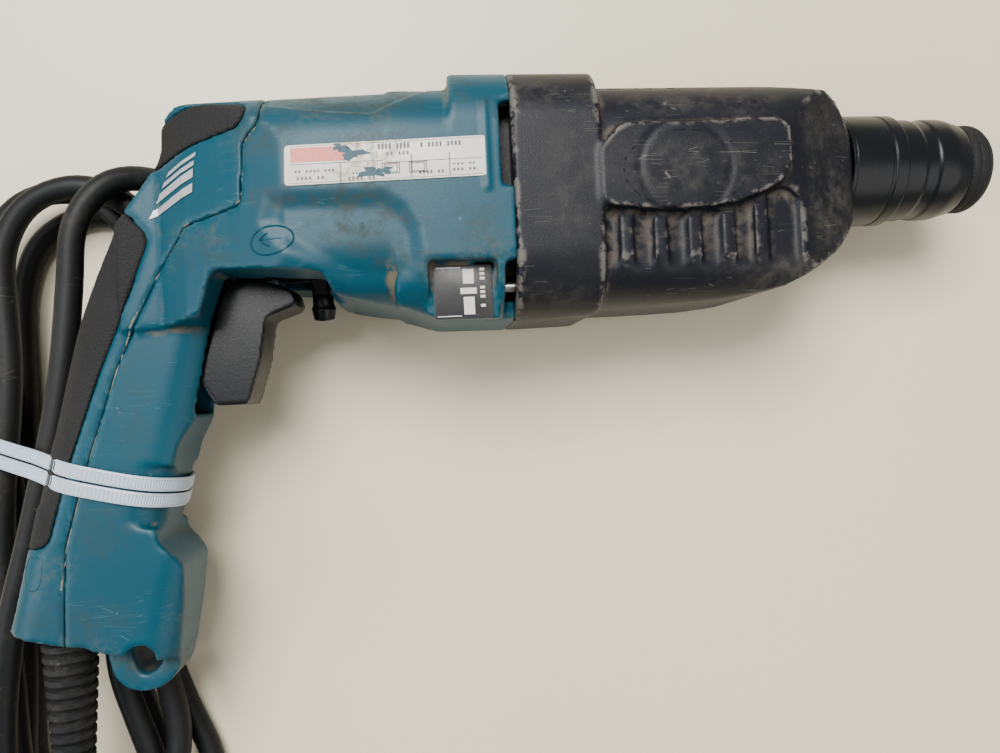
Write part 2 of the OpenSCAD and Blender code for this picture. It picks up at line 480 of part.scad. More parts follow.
lead_route = [[-159.5, -134, 0], [-159.5, -150, 0], [-159.5, -180, 0], [-159.5, -214, 0], [-159.5, -228, -1], [-158, -243, -5], [-152, -258, -12],
  [-140, -268.5, -18], [-124, -272, -21], [-111, -270.6, -20.9], [-103.9, -270, -20.8]];
module cord_lead() color([0.1, 0.1, 0.1]) sweep(spline(lead_route, 3), cord_d / 2, 10);
module cord_hank() color([0.1, 0.1, 0.1]) difference() {
  flat(-hw + 1.6, -19.6) union() {
    translate([-158.5, -18]) circle(26);
    translate([-158.5, -219]) circle(26);
    translate([-184.5, -219]) square([52, 201]);
  }
  flat(-60, 0) union() {
    translate([-158.5, -18]) circle(7);
    translate([-158.5, -219]) circle(7);
    translate([-165.5, -219]) square([14, 201]);
  }
}
module plug_body() color([0.1, 0.1, 0.1]) difference() {
  translate([-103.9, -270, -20.8]) rotate([0, 90, 0]) rotate_extrude() polygon([[0, 0], [6, 0], [8, 10], [13, 18], [17, 24], [17.4, 40], [16, 41], [0, 41]]);
  for (s = [-1, 1]) rod(-66, -60, 2.45, -270 + s * 9.5, -20.8);
}
module plug_pins() color("silver") for (s = [-1, 1]) rod(-65.9, -43, 2.4, -270 + s * 9.5, -20.8);
module cable_tie() color("white") difference() {
  lean() { along_y(-93, -88.3) rrect(-56, 16.8, -hw + 0.05, 18.6, 3.4); along_y(-87.7, -83) rrect(-56, 16.8, -hw + 0.05, 18.6, 3.4); }
  lean() along_y(-99, -77) rrect(-54.7, 15.5, -hw + 1.35, 17.3, 2.1);
}

module placed() { translate(shift) children(); }
placed() motor_housing();
placed() handle_cover();
placed() gear_housing();
placed() inner_housing();
placed() barrel_collar();
placed() rear_grip_pad();
placed() top_grip_pad();
placed() silver_stripes();
placed() rating_label();
placed() serial_label();
placed() gear_housing_screws();
placed() cover_screws();
placed() stator();
placed() field_coils();
placed() rear_bearing();
placed() front_bearing();
placed() armature_shaft();
placed() armature_core();
placed() commutator();
placed() fan();
placed() baffle_plate();
placed() brush_holders();
placed() carbon_brushes();
placed() reversing_lever();
placed() trigger();
placed() trigger_spring();
placed() switch_body();
placed() lock_button();
placed() capacitor();
placed() camshaft();
placed() cam_gear();
placed() drive_pinion();
placed() swash_hub();
placed() swash_ring();
placed() camshaft_bearings();
placed() piston_cylinder();
placed() piston_pin();
placed() striker();
placed() striker_ring();
placed() impact_bolt();
placed() tool_holder();
placed() spindle_gear();
placed() spindle_bearing();
placed() oil_seal();
placed() locking_ball_upper();
placed() locking_ball_lower();
placed() chuck_sleeve();
placed() sleeve_spring();
placed() retaining_ring();
placed() front_cap();
placed() change_lever();
placed() change_lever_button();
placed() cord_clamp();
placed() clamp_screws();
placed() cord_guard();
placed() cord_lead();
placed() cord_hank();
placed() plug_body();
placed() plug_pins();
placed() cable_tie();
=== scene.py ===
"""Corded rotary hammer lying on its left side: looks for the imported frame.

Sizes in the classes are millimetres in the maker's datum: X from the housing
joint towards the nose, Y up from the spindle axis, Z out of the right side.
"""

import json
import logging
import math
from dataclasses import dataclass, field
from enum import Enum
from typing import Callable, Iterable, Optional, Sequence

import bmesh
import bpy
import numpy as np
from mathutils import Matrix, Vector
from mathutils.bvhtree import BVHTree

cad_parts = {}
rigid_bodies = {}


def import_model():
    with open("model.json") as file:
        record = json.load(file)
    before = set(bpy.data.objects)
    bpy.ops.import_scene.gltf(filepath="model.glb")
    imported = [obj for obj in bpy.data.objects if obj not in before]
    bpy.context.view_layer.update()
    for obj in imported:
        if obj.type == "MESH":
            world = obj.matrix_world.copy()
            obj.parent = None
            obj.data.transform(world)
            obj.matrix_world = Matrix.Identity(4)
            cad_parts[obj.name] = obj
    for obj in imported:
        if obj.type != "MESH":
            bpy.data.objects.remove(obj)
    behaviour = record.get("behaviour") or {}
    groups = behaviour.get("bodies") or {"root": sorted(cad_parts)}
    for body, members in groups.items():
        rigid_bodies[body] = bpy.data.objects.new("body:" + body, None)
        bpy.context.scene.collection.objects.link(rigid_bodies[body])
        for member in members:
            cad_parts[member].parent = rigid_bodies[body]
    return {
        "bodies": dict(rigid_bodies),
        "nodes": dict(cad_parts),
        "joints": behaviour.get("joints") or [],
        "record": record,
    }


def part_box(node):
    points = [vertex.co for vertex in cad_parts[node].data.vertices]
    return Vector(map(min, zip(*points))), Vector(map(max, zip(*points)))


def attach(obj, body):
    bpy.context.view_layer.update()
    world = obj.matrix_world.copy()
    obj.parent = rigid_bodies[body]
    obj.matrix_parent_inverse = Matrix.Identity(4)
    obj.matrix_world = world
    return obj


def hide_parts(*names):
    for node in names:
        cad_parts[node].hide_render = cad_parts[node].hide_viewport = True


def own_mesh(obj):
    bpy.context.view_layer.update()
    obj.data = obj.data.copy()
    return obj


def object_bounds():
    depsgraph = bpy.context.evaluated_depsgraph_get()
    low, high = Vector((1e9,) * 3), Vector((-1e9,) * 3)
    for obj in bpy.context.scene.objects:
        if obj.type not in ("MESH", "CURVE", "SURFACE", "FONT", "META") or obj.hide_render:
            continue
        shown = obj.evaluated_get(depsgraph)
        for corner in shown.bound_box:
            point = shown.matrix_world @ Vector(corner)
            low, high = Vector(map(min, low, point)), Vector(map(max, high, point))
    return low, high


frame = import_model()
CAD_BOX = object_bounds()
NODES = frame["nodes"]
LOG = logging.getLogger("rotary_hammer")
MM = 0.001
Point = tuple[float, float, float]
Flat = tuple[float, float]


class Side(Enum):
    """Side of the tool: right looks up from the table, left lies on it."""

    RIGHT = 1
    LEFT = -1


class Datum:
    """The maker's datum: joint face, spindle axis and middle plane, read from the frame."""

    def __init__(self) -> None:
        """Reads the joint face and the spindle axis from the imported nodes."""
        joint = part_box("gear_housing")[0].x
        lo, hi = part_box("tool_holder")
        self.origin = Vector((joint, (lo.y + hi.y) / 2, (lo.z + hi.z) / 2))

    def at(self, x: float, y: float, z: float) -> Vector:
        """Turns a place in datum millimetres into the frame's metres."""
        return self.origin + Vector((x, y, z)) * MM

    def to_datum(self, co: np.ndarray) -> np.ndarray:
        """Turns frame metres into datum millimetres."""
        return (co - np.array(self.origin)) / MM


DATUM = Datum()


# ------------------------------------------------------------------ mesh work
def deselect() -> None:
    for obj in bpy.context.selected_objects:
        obj.select_set(False)


def activate(obj: bpy.types.Object) -> None:
    """Makes obj the only selected and active object."""
    deselect()
    obj.select_set(True)
    bpy.context.view_layer.objects.active = obj


def new_object(name: str, verts: Sequence, faces: Sequence) -> bpy.types.Object:
    """Makes a mesh object from frame metres.

    Args:
        name: the piece's name.
        verts: corner places.
        faces: corner numbers of each face.

    Returns:
        The linked object.
    """
    mesh = bpy.data.meshes.new(name)
    mesh.from_pydata([tuple(v) for v in verts], [], [tuple(f) for f in faces])
    mesh.update()
    obj = bpy.data.objects.new(name, mesh)
    bpy.context.scene.collection.objects.link(obj)
    return obj


def read_points(obj: bpy.types.Object) -> np.ndarray:
    """Reads the vertex places of obj as an array."""
    co = np.empty(len(obj.data.vertices) * 3)
    obj.data.vertices.foreach_get("co", co)
    return co.reshape(-1, 3)


def write_points(obj: bpy.types.Object, co: np.ndarray) -> None:
    """Writes the vertex places of obj."""
    obj.data.vertices.foreach_set("co", co.ravel())
    obj.data.update()


def neighbour_mean(obj: bpy.types.Object) -> Callable[[np.ndarray], np.ndarray]:
    """Returns a function that averages a per-vertex array over each vertex's neighbours."""
    edges = np.empty(len(obj.data.edges) * 2, dtype=np.int64)
    obj.data.edges.foreach_get("vertices", edges)
    a, b = edges.reshape(-1, 2).T
    n = len(obj.data.vertices)
    count = np.maximum(np.bincount(a, minlength=n) + np.bincount(b, minlength=n), 1)

    def mean(values: np.ndarray) -> np.ndarray:
        """Averages values over neighbours."""
        cols = values.reshape(n, -1)
        out = np.stack([np.bincount(a, cols[b, k], n) + np.bincount(b, cols[a, k],
                n) for k in range(cols.shape[1])], 1)
        return (out / count[:, None]).reshape(values.shape)

    return mean


def smooth_points(obj: bpy.types.Object, rounds: int) -> None:
    """Rounds edges off by moving each vertex half way to its neighbours' middle, then partly back."""
    mean = neighbour_mean(obj)
    co = read_points(obj)
    for _ in range(rounds):
        co = co + 0.5 * (mean(co) - co)
        co = co - 0.3 * (mean(co) - co)
    write_points(obj, co)


def mark_wear_and_shade(obj: bpy.types.Object, rounds: int = 10, gain: float = 1.0,
              blots: Sequence[tuple[float, ...]] = ()) -> None:
    """Writes the colour attribute of edge wear, dust in hollows, and handled grime with painted shade
    patches.

    Args:
        obj: the piece.
        rounds: how broad a ridge or hollow may be.
        gain: how strongly ridges and hollows show.
        blots: handled grime and painted shade patches as datum (x, y, half length, half height, strength).
    """
    mean = neighbour_mean(obj)
    co = read_points(obj) / MM
    soft = co.copy()
    for _ in range(rounds):
        soft = mean(soft)
    normals = np.empty(len(obj.data.vertices) * 3)
    obj.data.vertices.foreach_get("normal", normals)
    height = ((co - soft) * normals.reshape(-1, 3)).sum(1)
    height = mean(height) * gain
    ridge = np.clip((height - 0.12) / 0.5, 0, 1)
    hollow = np.clip((-height - 0.08) / 0.4, 0, 1)
    attribute = obj.data.color_attributes.new("wear_and_shade", "FLOAT_COLOR", "POINT")
    datum = DATUM.to_datum(co * MM)
    # blue channel: the blots' patches, handled grime and, on the teal, painted shade
    handled_and_shade = np.zeros_like(ridge)
    for x, y, length, width, strength in blots:
        far = np.hypot((datum[:, 0] - x) / length, (datum[:, 1] - y) / width)
        handled_and_shade = np.maximum(handled_and_shade, strength * (1 - smoothstep(0.3, 1.15, far)))
    values = np.stack([ridge, hollow, handled_and_shade, np.ones_like(ridge)], 1)
    attribute.data.foreach_set("color", values.ravel())


def copy_nodes(name: str, *nodes: str) -> bpy.types.Object:
    """Joins merged copies of CAD nodes into one new object."""
    mesh = bmesh.new()
    for node in nodes:
        mesh.from_mesh(NODES[node].data)
    bmesh.ops.remove_doubles(mesh, verts=mesh.verts, dist=0.00001)
    bmesh.ops.recalc_face_normals(mesh, faces=mesh.faces)
    data = bpy.data.meshes.new(name)
    mesh.to_mesh(data)
    mesh.free()
    obj = bpy.data.objects.new(name, data)
    bpy.context.scene.collection.objects.link(obj)
    return obj


def remesh(obj: bpy.types.Object, voxel: float) -> None:
    """Turns obj into an even skin of squares voxel millimetres wide."""
    activate(obj)
    modifier = obj.modifiers.new("skin", "REMESH")
    modifier.mode = "VOXEL"
    modifier.voxel_size = voxel * MM
    modifier.use_smooth_shade = True
    bpy.ops.object.modifier_apply(modifier=modifier.name)


def thin_out(obj: bpy.types.Object, ratio: float) -> None:
    """Removes triangles where the skin is plain."""
    activate(obj)
    modifier = obj.modifiers.new("thin", "DECIMATE")
    modifier.ratio = ratio
    bpy.ops.object.modifier_apply(modifier=modifier.name)


def shade_smooth(obj: bpy.types.Object, angle: float = 180.0) -> None:
    """Shades obj smooth up to an edge angle in degrees."""
    activate(obj)
    if angle >= 180.0:
        bpy.ops.object.shade_smooth()
    else:
        bpy.ops.object.shade_smooth_by_angle(angle=math.radians(angle))


def spun(name: str, profile: Sequence[Flat], steps: int = 128) -> bpy.types.Object:
    """Spins a closed profile about the spindle axis.

    Args:
        name: the piece's name.
        profile: (radius, x) corners in millimetres, in order round the section.
        steps: facets round the axis.

    Returns:
        The turned piece.
    """
    mesh = bpy.data.meshes.new(name)
    count = len(profile)
    mesh.from_pydata([DATUM.at(x, r, 0) for r, x in profile], [(i, (i + 1) % count) for i in range(count)],
                     [])
    obj = bpy.data.objects.new(name, mesh)
    bpy.context.scene.collection.objects.link(obj)
    activate(obj)
    bpy.ops.object.mode_set(mode="EDIT")
    bpy.ops.mesh.select_all(action="SELECT")
    bpy.ops.mesh.spin(steps=steps, angle=math.tau, center=DATUM.origin, axis=(1, 0, 0))
    bpy.ops.mesh.select_all(action="SELECT")
    bpy.ops.mesh.remove_doubles(threshold=0.000002)
    bpy.ops.mesh.normals_make_consistent(inside=False)
    bpy.ops.object.mode_set(mode="OBJECT")
    shade_smooth(obj, 28)
    return obj


def plate(name: str, outline: Sequence[Flat], low: float, high: float,
          edge: float = 0.0) -> bpy.types.Object:
    """Extrudes an outline in the datum's XY plane between two heights and bevels its edges.

    Args:
        name: the piece's name.
        outline: (x, y) corners in millimetres.
        low: lower Z in millimetres.
        high: upper Z in millimetres.
        edge: bevel width in millimetres, or 0.

    Returns:
        The plate.
    """
    obj = new_object(name, [DATUM.at(x, y, low) for x, y in outline], [range(len(outline))])
    activate(obj)
    bpy.ops.object.mode_set(mode="EDIT")
    bpy.ops.mesh.select_all(action="SELECT")
    bpy.ops.mesh.extrude_region_move(TRANSFORM_OT_translate={"value": (0, 0, (high - low) * MM)})
    bpy.ops.mesh.select_all(action="SELECT")
    bpy.ops.mesh.normals_make_consistent(inside=False)
    if edge:
        bpy.ops.mesh.bevel(offset=edge * MM, segments=2, affect="EDGES", clamp_overlap=True)
    bpy.ops.object.mode_set(mode="OBJECT")
    shade_smooth(obj, 30)
    return obj


def rounded(corners: Sequence[tuple[float, float, float]], steps: int = 5) -> list[Flat]:
    """Rounds the corners (x, y, fillet) of an outline."""
    return soft_profile(corners, steps)


def soft_profile(corners: Sequence[tuple[float, float, float]], steps: int = 5) -> list[Flat]:
    """Rounds the corners (radius from axis, x, fillet) of a closed profile."""
    out: list[Flat] = []
    n = len(corners)
    for i, (r, x, fillet) in enumerate(corners):
        here = Vector((r, x))
        back = Vector(corners[i - 1][:2]) - here
        ahead = Vector(corners[(i + 1) % n][:2]) - here
        reach = min(fillet, back.length * 0.45, ahead.length * 0.45)
        if reach <= 0:
            out.append((r, x))
            continue
        start, end = here + back.normalized() * reach, here + ahead.normalized() * reach
        for k in range(steps + 1):
            t = k / steps
            p = (1 - t) ** 2 * start + 2 * t * (1 - t) * here + t * t * end
            out.append((p.x, p.y))
    return out


def tube_along(name: str, route: Sequence[Vector], radius: float, sides: int = 8,
               closed: bool = False) -> bpy.types.Object:
    """Sweeps a round bead of that radius in metres along a route in the frame."""
    points = [Vector(p) for p in route]
    n = len(points)
    verts, faces = [], []
    normal = Vector((0, 0, 1))
    for i, p in enumerate(points):
        if closed:
            direction = points[(i + 1) % n] - points[i - 1]
        else:
            direction = points[min(i + 1, n - 1)] - points[max(i - 1, 0)]
        direction.normalize()
        normal = normal - direction * normal.dot(direction)
        normal = normal.normalized() if normal.length > 1e-6 else direction.orthogonal().normalized()
        other = direction.cross(normal)
        verts += [p + radius * (math.cos(2 * math.pi * k / sides) * normal
                                + math.sin(2 * math.pi * k / sides) * other)
                  for k in range(sides)]
    for i in range(n if closed else n - 1):
        j = (i + 1) % n
        for k in range(sides):
            m = (k + 1) % sides
            faces.append((i * sides + k, i * sides + m, j * sides + m, j * sides + k))
    if not closed:
        faces.append(tuple(range(sides - 1, -1, -1)))
        faces.append(tuple((n - 1) * sides + k for k in range(sides)))
    obj = new_object(name, verts, faces)
    shade_smooth(obj, 60)
    return obj


def catmull(points: Sequence[Sequence[float]], per_span: int, closed: bool = False) -> list[Vector]:
    """Draws a smooth curve through points."""
    pts = [Vector(p) for p in points]
    n = len(pts)
    out = []
    for i in range(n if closed else n - 1):
        if closed:
            a, b, c, d = pts[i - 1], pts[i], pts[(i + 1) % n], pts[(i + 2) % n]
        else:
            a, b, c, d = pts[max(i - 1, 0)], pts[i], pts[i + 1], pts[min(i + 2, n - 1)]
        for k in range(per_span):
            t = k / per_span
            out.append(0.5 * (2 * b + (c - a) * t + (2 * a - 5 * b + 4 * c - d) * t * t
                              + (3 * b - a - 3 * c + d) * t ** 3))
    if not closed:
        out.append(pts[-1])
    return out


def join_pieces(name: str, pieces: Sequence[bpy.types.Object]) -> bpy.types.Object:
    """Joins pieces into the first and names it."""
    deselect()
    for piece in pieces:
        piece.select_set(True)
    bpy.context.view_layer.objects.active = pieces[0]
    if len(pieces) > 1:
        bpy.ops.object.join()
    pieces[0].name = name
    pieces[0].data.name = name
    return pieces[0]


def smoothstep(low: float, high: float, value: np.ndarray) -> np.ndarray:
    """Rises smoothly from 0 at low to 1 at high."""
    t = np.clip((value - low) / (high - low), 0, 1)
    return t * t * (3 - 2 * t)


# ------------------------------------------------------------------ shader work
class Graph:
    """Short hand for building a node tree."""

    def __init__(self, tree: bpy.types.NodeTree) -> None:
        """Keeps the tree that nodes go into."""
        self.tree = tree

    def add(self, kind: str, **settings: object) -> bpy.types.Node:
        """Adds a node; settings are its attributes, or inputs when their name is one."""
        node = self.tree.nodes.new(kind)
        for key, value in settings.items():
            setattr(node, key, value)
        return node

    def link(self, source: bpy.types.NodeSocket, target: bpy.types.NodeSocket) -> None:
        """Links two sockets."""
        self.tree.links.new(source, target)

    def value(self, node: bpy.types.Node, socket: object, value: object) -> None:
        """Sets or links an input."""
        target = node.inputs[socket]
        if isinstance(value, bpy.types.NodeSocket):
            self.link(value, target)
        else:
            target.default_value = value

    def math(self, operation: str, a: object, b: object = 0.0, c: object = 0.0,
             clamp: bool = False) -> bpy.types.NodeSocket:
        """Adds a Math node and returns its result."""
        node = self.add("ShaderNodeMath", operation=operation, use_clamp=clamp)
        for index, value in enumerate((a, b, c)):
            if index < len(node.inputs):
                self.value(node, index, value)
        return node.outputs[0]

    def mix(self, factor: object, a: object, b: object) -> bpy.types.NodeSocket:
        """Mixes two colours."""
        node = self.add("ShaderNodeMix", data_type="RGBA")
        self.value(node, 0, factor)
        self.value(node, 6, a)
        self.value(node, 7, b)
        return node.outputs[2]

    def ramp(self, value: object, low: float, high: float) -> bpy.types.NodeSocket:
        """Maps low..high to 0..1 smoothly."""
        node = self.add("ShaderNodeMapRange", interpolation_type="SMOOTHSTEP")
        self.value(node, "Value", value)
        node.inputs["From Min"].default_value = low
        node.inputs["From Max"].default_value = high
        return node.outputs["Result"]

    def noise(self, coords: object, scale: float, detail: float = 4.0,
              rough: float = 0.55) -> bpy.types.NodeSocket:
        """Adds a noise texture and returns its value."""
        node = self.add("ShaderNodeTexNoise")
        self.value(node, "Vector", coords)
        node.inputs["Scale"].default_value = scale
        node.inputs["Detail"].default_value = detail
        node.inputs["Roughness"].default_value = rough
        return node.outputs["Fac"]

    def mapped(self, coords: object, turn: Point = (0, 0, 0), scale: Point = (1, 1, 1),
               move: Point = (0, 0, 0)) -> bpy.types.NodeSocket:
        """Turns, scales and moves coordinates."""
        node = self.add("ShaderNodeMapping")
        self.value(node, "Vector", coords)
        node.inputs["Rotation"].default_value = turn
        node.inputs["Scale"].default_value = scale
        node.inputs["Location"].default_value = move
        return node.outputs[0]


def new_group(name: str, inputs: dict[str, tuple[str, object]],
              outputs: dict[str, str]) -> tuple[bpy.types.NodeTree, Graph, bpy.types.Node, bpy.types.Node]:
    """Makes a shader group with named sockets.

    Args:
        name: the group's name.
        inputs: socket name to (kind, default).
        outputs: socket name to kind.

    Returns:
        The tree, its graph, the input node and the output node.
    """
    tree = bpy.data.node_groups.new(name, "ShaderNodeTree")
    for key, (kind, default) in inputs.items():
        socket = tree.interface.new_socket(key, in_out="INPUT", socket_type=kind)
        if default is not None:
            socket.default_value = default
    for key, kind in outputs.items():
        tree.interface.new_socket(key, in_out="OUTPUT", socket_type=kind)
    graph = Graph(tree)
    return tree, graph, graph.add("NodeGroupInput"), graph.add("NodeGroupOutput")


def build_scratches() -> bpy.types.NodeTree:
    """Thin random scratches in several directions, as a mask."""
    tree, g, source, sink = new_group(
        "fine scratches",
        {"Vector": ("NodeSocketVector", None), "Density": ("NodeSocketFloat", 0.5)},
        {"Mask": "NodeSocketFloat"})
    total: object = 0.0
    for index, (turn, scale) in enumerate(((0.35, 22.0), (1.25, 30.0), (2.1, 18.0), (2.75, 36.0))):
        coords = g.mapped(source.outputs["Vector"], (0.4 * index, 0.3, turn), (1.0, 16.0, 2.0),
                          (0.13 * index, 0.07, 0))
        cells = g.add("ShaderNodeTexVoronoi", feature="DISTANCE_TO_EDGE")
        g.value(cells, "Vector", coords)
        cells.inputs["Scale"].default_value = scale
        line = g.math("SUBTRACT", 1.0, g.ramp(cells.outputs["Distance"], 0.002, 0.014))
        patch = g.noise(g.mapped(source.outputs["Vector"], (0, 0, 0), (1, 1, 1), (0.31 * index, 0.2, 0.1)),
                        60.0, 2.0)
        limit = g.math("SUBTRACT", 0.74, g.math("MULTIPLY", source.outputs["Density"], 0.2))
        gate = g.math("GREATER_THAN", patch, limit)
        total = g.math("MAXIMUM", total, g.math("MULTIPLY", line, gate))
    g.link(total, sink.inputs["Mask"])
    return tree


def build_wear_and_shade() -> bpy.types.NodeTree:
    """Worn ridges, dirty hollows, smudges, specks, and handled grime and painted shade patches over a base
    colour.
    """
    tree, g, source, sink = new_group(
        "worn surface and painted shade",
        {"Vector": ("NodeSocketVector", None), "Base": ("NodeSocketColor", (0.5, 0.5, 0.5, 1)),
         "Worn": ("NodeSocketColor", (0.6, 0.6, 0.6, 1)), "Dirt": ("NodeSocketColor", (0.4, 0.33, 0.22, 1)),
         "Handled And Shade": ("NodeSocketColor", (0.03, 0.025, 0.02, 1)),
         "Edge Amount": ("NodeSocketFloat", 1.0), "Dirt Amount": ("NodeSocketFloat", 1.0),
         "Smudge": ("NodeSocketFloat", 0.3), "Speck": ("NodeSocketFloat", 0.3),
         "Scratch": ("NodeSocketFloat", 0.5)},
        {"Color": "NodeSocketColor", "Rough": "NodeSocketFloat", "Height": "NodeSocketFloat"})
    get = source.outputs
    wear_and_shade = g.add("ShaderNodeAttribute", attribute_name="wear_and_shade")
    parts = g.add("ShaderNodeSeparateColor")
    g.link(wear_and_shade.outputs["Color"], parts.inputs[0])
    rub = g.noise(get["Vector"], 220.0, 5.0, 0.65)
    broad = g.noise(get["Vector"], 28.0, 3.0)
    edge = g.math("MULTIPLY", g.math("MULTIPLY", parts.outputs["Red"], get["Edge Amount"]),
                  g.ramp(rub, 0.38, 0.6))
    edge = g.ramp(edge, 0.12, 0.6)
    dirt = g.math("MULTIPLY", g.math("MULTIPLY", parts.outputs["Green"], get["Dirt Amount"]),
                  g.ramp(rub, 0.3, 0.62))
    dirt = g.ramp(dirt, 0.05, 0.75)
    stain = g.math("MULTIPLY", g.ramp(broad, 0.5, 0.72),
                   g.ramp(g.noise(get["Vector"], 420.0, 4.0, 0.7), 0.42, 0.6))
    stain = g.math("MULTIPLY", stain, get["Smudge"])
    speck = g.math("MULTIPLY", g.ramp(g.noise(get["Vector"], 900.0, 2.0, 0.8), 0.68, 0.74), get["Speck"])
    scratch_group = g.add("ShaderNodeGroup")
    scratch_group.node_tree = SHARED["scratches"]
    g.link(get["Vector"], scratch_group.inputs["Vector"])
    g.link(get["Scratch"], scratch_group.inputs["Density"])
    scratch = g.math("MULTIPLY", scratch_group.outputs["Mask"], g.ramp(get["Scratch"], 0.0, 0.2))
    # handled grime and painted shade patches from the blue channel
    handled_and_shade = g.math("MULTIPLY", parts.outputs["Blue"],
                     g.math("ADD", 0.35, g.math("MULTIPLY", g.ramp(rub, 0.42, 0.62), 0.65)))
    handled_and_shade = g.math("MULTIPLY", handled_and_shade, g.ramp(g.noise(get["Vector"], 90.0, 5.0, 0.7), 0.36, 0.58))
    color = g.mix(g.math("MULTIPLY", stain, 0.75), get["Base"], get["Dirt"])
    color = g.mix(handled_and_shade, color, get["Handled And Shade"])
    color = g.mix(g.math("MULTIPLY", edge, 0.8), color, get["Worn"])
    color = g.mix(g.math("MULTIPLY", scratch, 0.65), color, get["Worn"])
    color = g.mix(speck, color, get["Worn"])
    color = g.mix(dirt, color, get["Dirt"])
    g.link(color, sink.inputs["Color"])
    rough = g.math("ADD", g.math("MULTIPLY", dirt, 0.35), g.math("MULTIPLY", stain, 0.25))
    rough = g.math("ADD", rough, g.math("MULTIPLY", edge, 0.1))
    rough = g.math("ADD", rough, g.math("MULTIPLY", handled_and_shade, 0.22))
    g.link(rough, sink.inputs["Rough"])
    g.link(g.math("SUBTRACT", g.math("MULTIPLY", dirt, 0.4), g.math("MULTIPLY", scratch, 0.5)),
           sink.inputs["Height"])
    return tree


SHARED: dict[str, bpy.types.NodeTree] = {}


@dataclass(frozen=True)
class Finish:
    """A worn, bumped finish over one base colour."""

    name: str
    base: tuple[float, float, float]
    shade: tuple[float, float, float] = (0.0, 0.0, 0.0)
    worn: tuple[float, float, float] = (0.5, 0.5, 0.5)
    dirt: tuple[float, float, float] = (0.30, 0.24, 0.16)
    # colour of the handled grime and painted shade patches
    handled_and_shade: tuple[float, float, float] = (0.03, 0.025, 0.018)
    rough: float = 0.45
    metallic: float = 0.0
    edge: float = 0.6
    grime: float = 0.8
    smudge: float = 0.3
    speck: float = 0.2
    scratch: float = 0.4
    grain: float = 600.0
    bump: float = 0.15
    grain_soft: float = 0.5
    specular: float = 0.5
    coat: float = 0.0
    transmission: float = 0.0
    brushed: Optional[Point] = None

    def material(self) -> bpy.types.Material:
        """Builds the finish once and returns its material."""
        found = bpy.data.materials.get(self.name)
        if found is not None and found.get("built"):
            return found
        mat = bpy.data.materials.new(self.name)
        mat["built"] = True
        mat.use_nodes = True
        tree = mat.node_tree
        tree.nodes.clear()
        g = Graph(tree)
        out = g.add("ShaderNodeOutputMaterial")
        shader = g.add("ShaderNodeBsdfPrincipled")
        g.link(shader.outputs[0], out.inputs[0])
        coords = g.add("ShaderNodeTexCoord").outputs["Object"]
        tone = g.noise(coords, 14.0, 4.0)
        dark = tuple(max(0.0, c + s) for c, s in zip(self.base, self.shade)) + (1,)
        base = g.mix(g.ramp(tone, 0.35, 0.65), self.base + (1,), dark)
        group = g.add("ShaderNodeGroup")
        group.node_tree = SHARED["wear_and_shade"]
        g.link(coords, group.inputs["Vector"])
        g.link(base, group.inputs["Base"])
        for key, value in (("Worn", self.worn + (1,)), ("Dirt", self.dirt + (1,)),
                           ("Handled And Shade", self.handled_and_shade + (1,)), ("Edge Amount", self.edge),
                           ("Dirt Amount", self.grime), ("Smudge", self.smudge), ("Speck", self.speck),
                           ("Scratch", self.scratch)):
            group.inputs[key].default_value = value
        g.link(group.outputs["Color"], shader.inputs["Base Color"])
        texture = g.noise(g.mapped(coords, scale=self.brushed) if self.brushed else coords, self.grain,
                          3.0, self.grain_soft)
        rough = g.math("ADD", g.math("MULTIPLY_ADD", texture, 0.16, self.rough - 0.08),
                       group.outputs["Rough"], clamp=True)
        g.link(rough, shader.inputs["Roughness"])
        shader.inputs["Metallic"].default_value = self.metallic
        shader.inputs["Specular IOR Level"].default_value = self.specular
        shader.inputs["Coat Weight"].default_value = self.coat
        shader.inputs["Transmission Weight"].default_value = self.transmission
        bump = g.add("ShaderNodeBump")
        bump.inputs["Strength"].default_value = self.bump
        bump.inputs["Distance"].default_value = 0.0004
        g.link(g.math("ADD", texture, group.outputs["Height"]), bump.inputs["Height"])
        g.link(bump.outputs[0], shader.inputs["Normal"])
        return mat


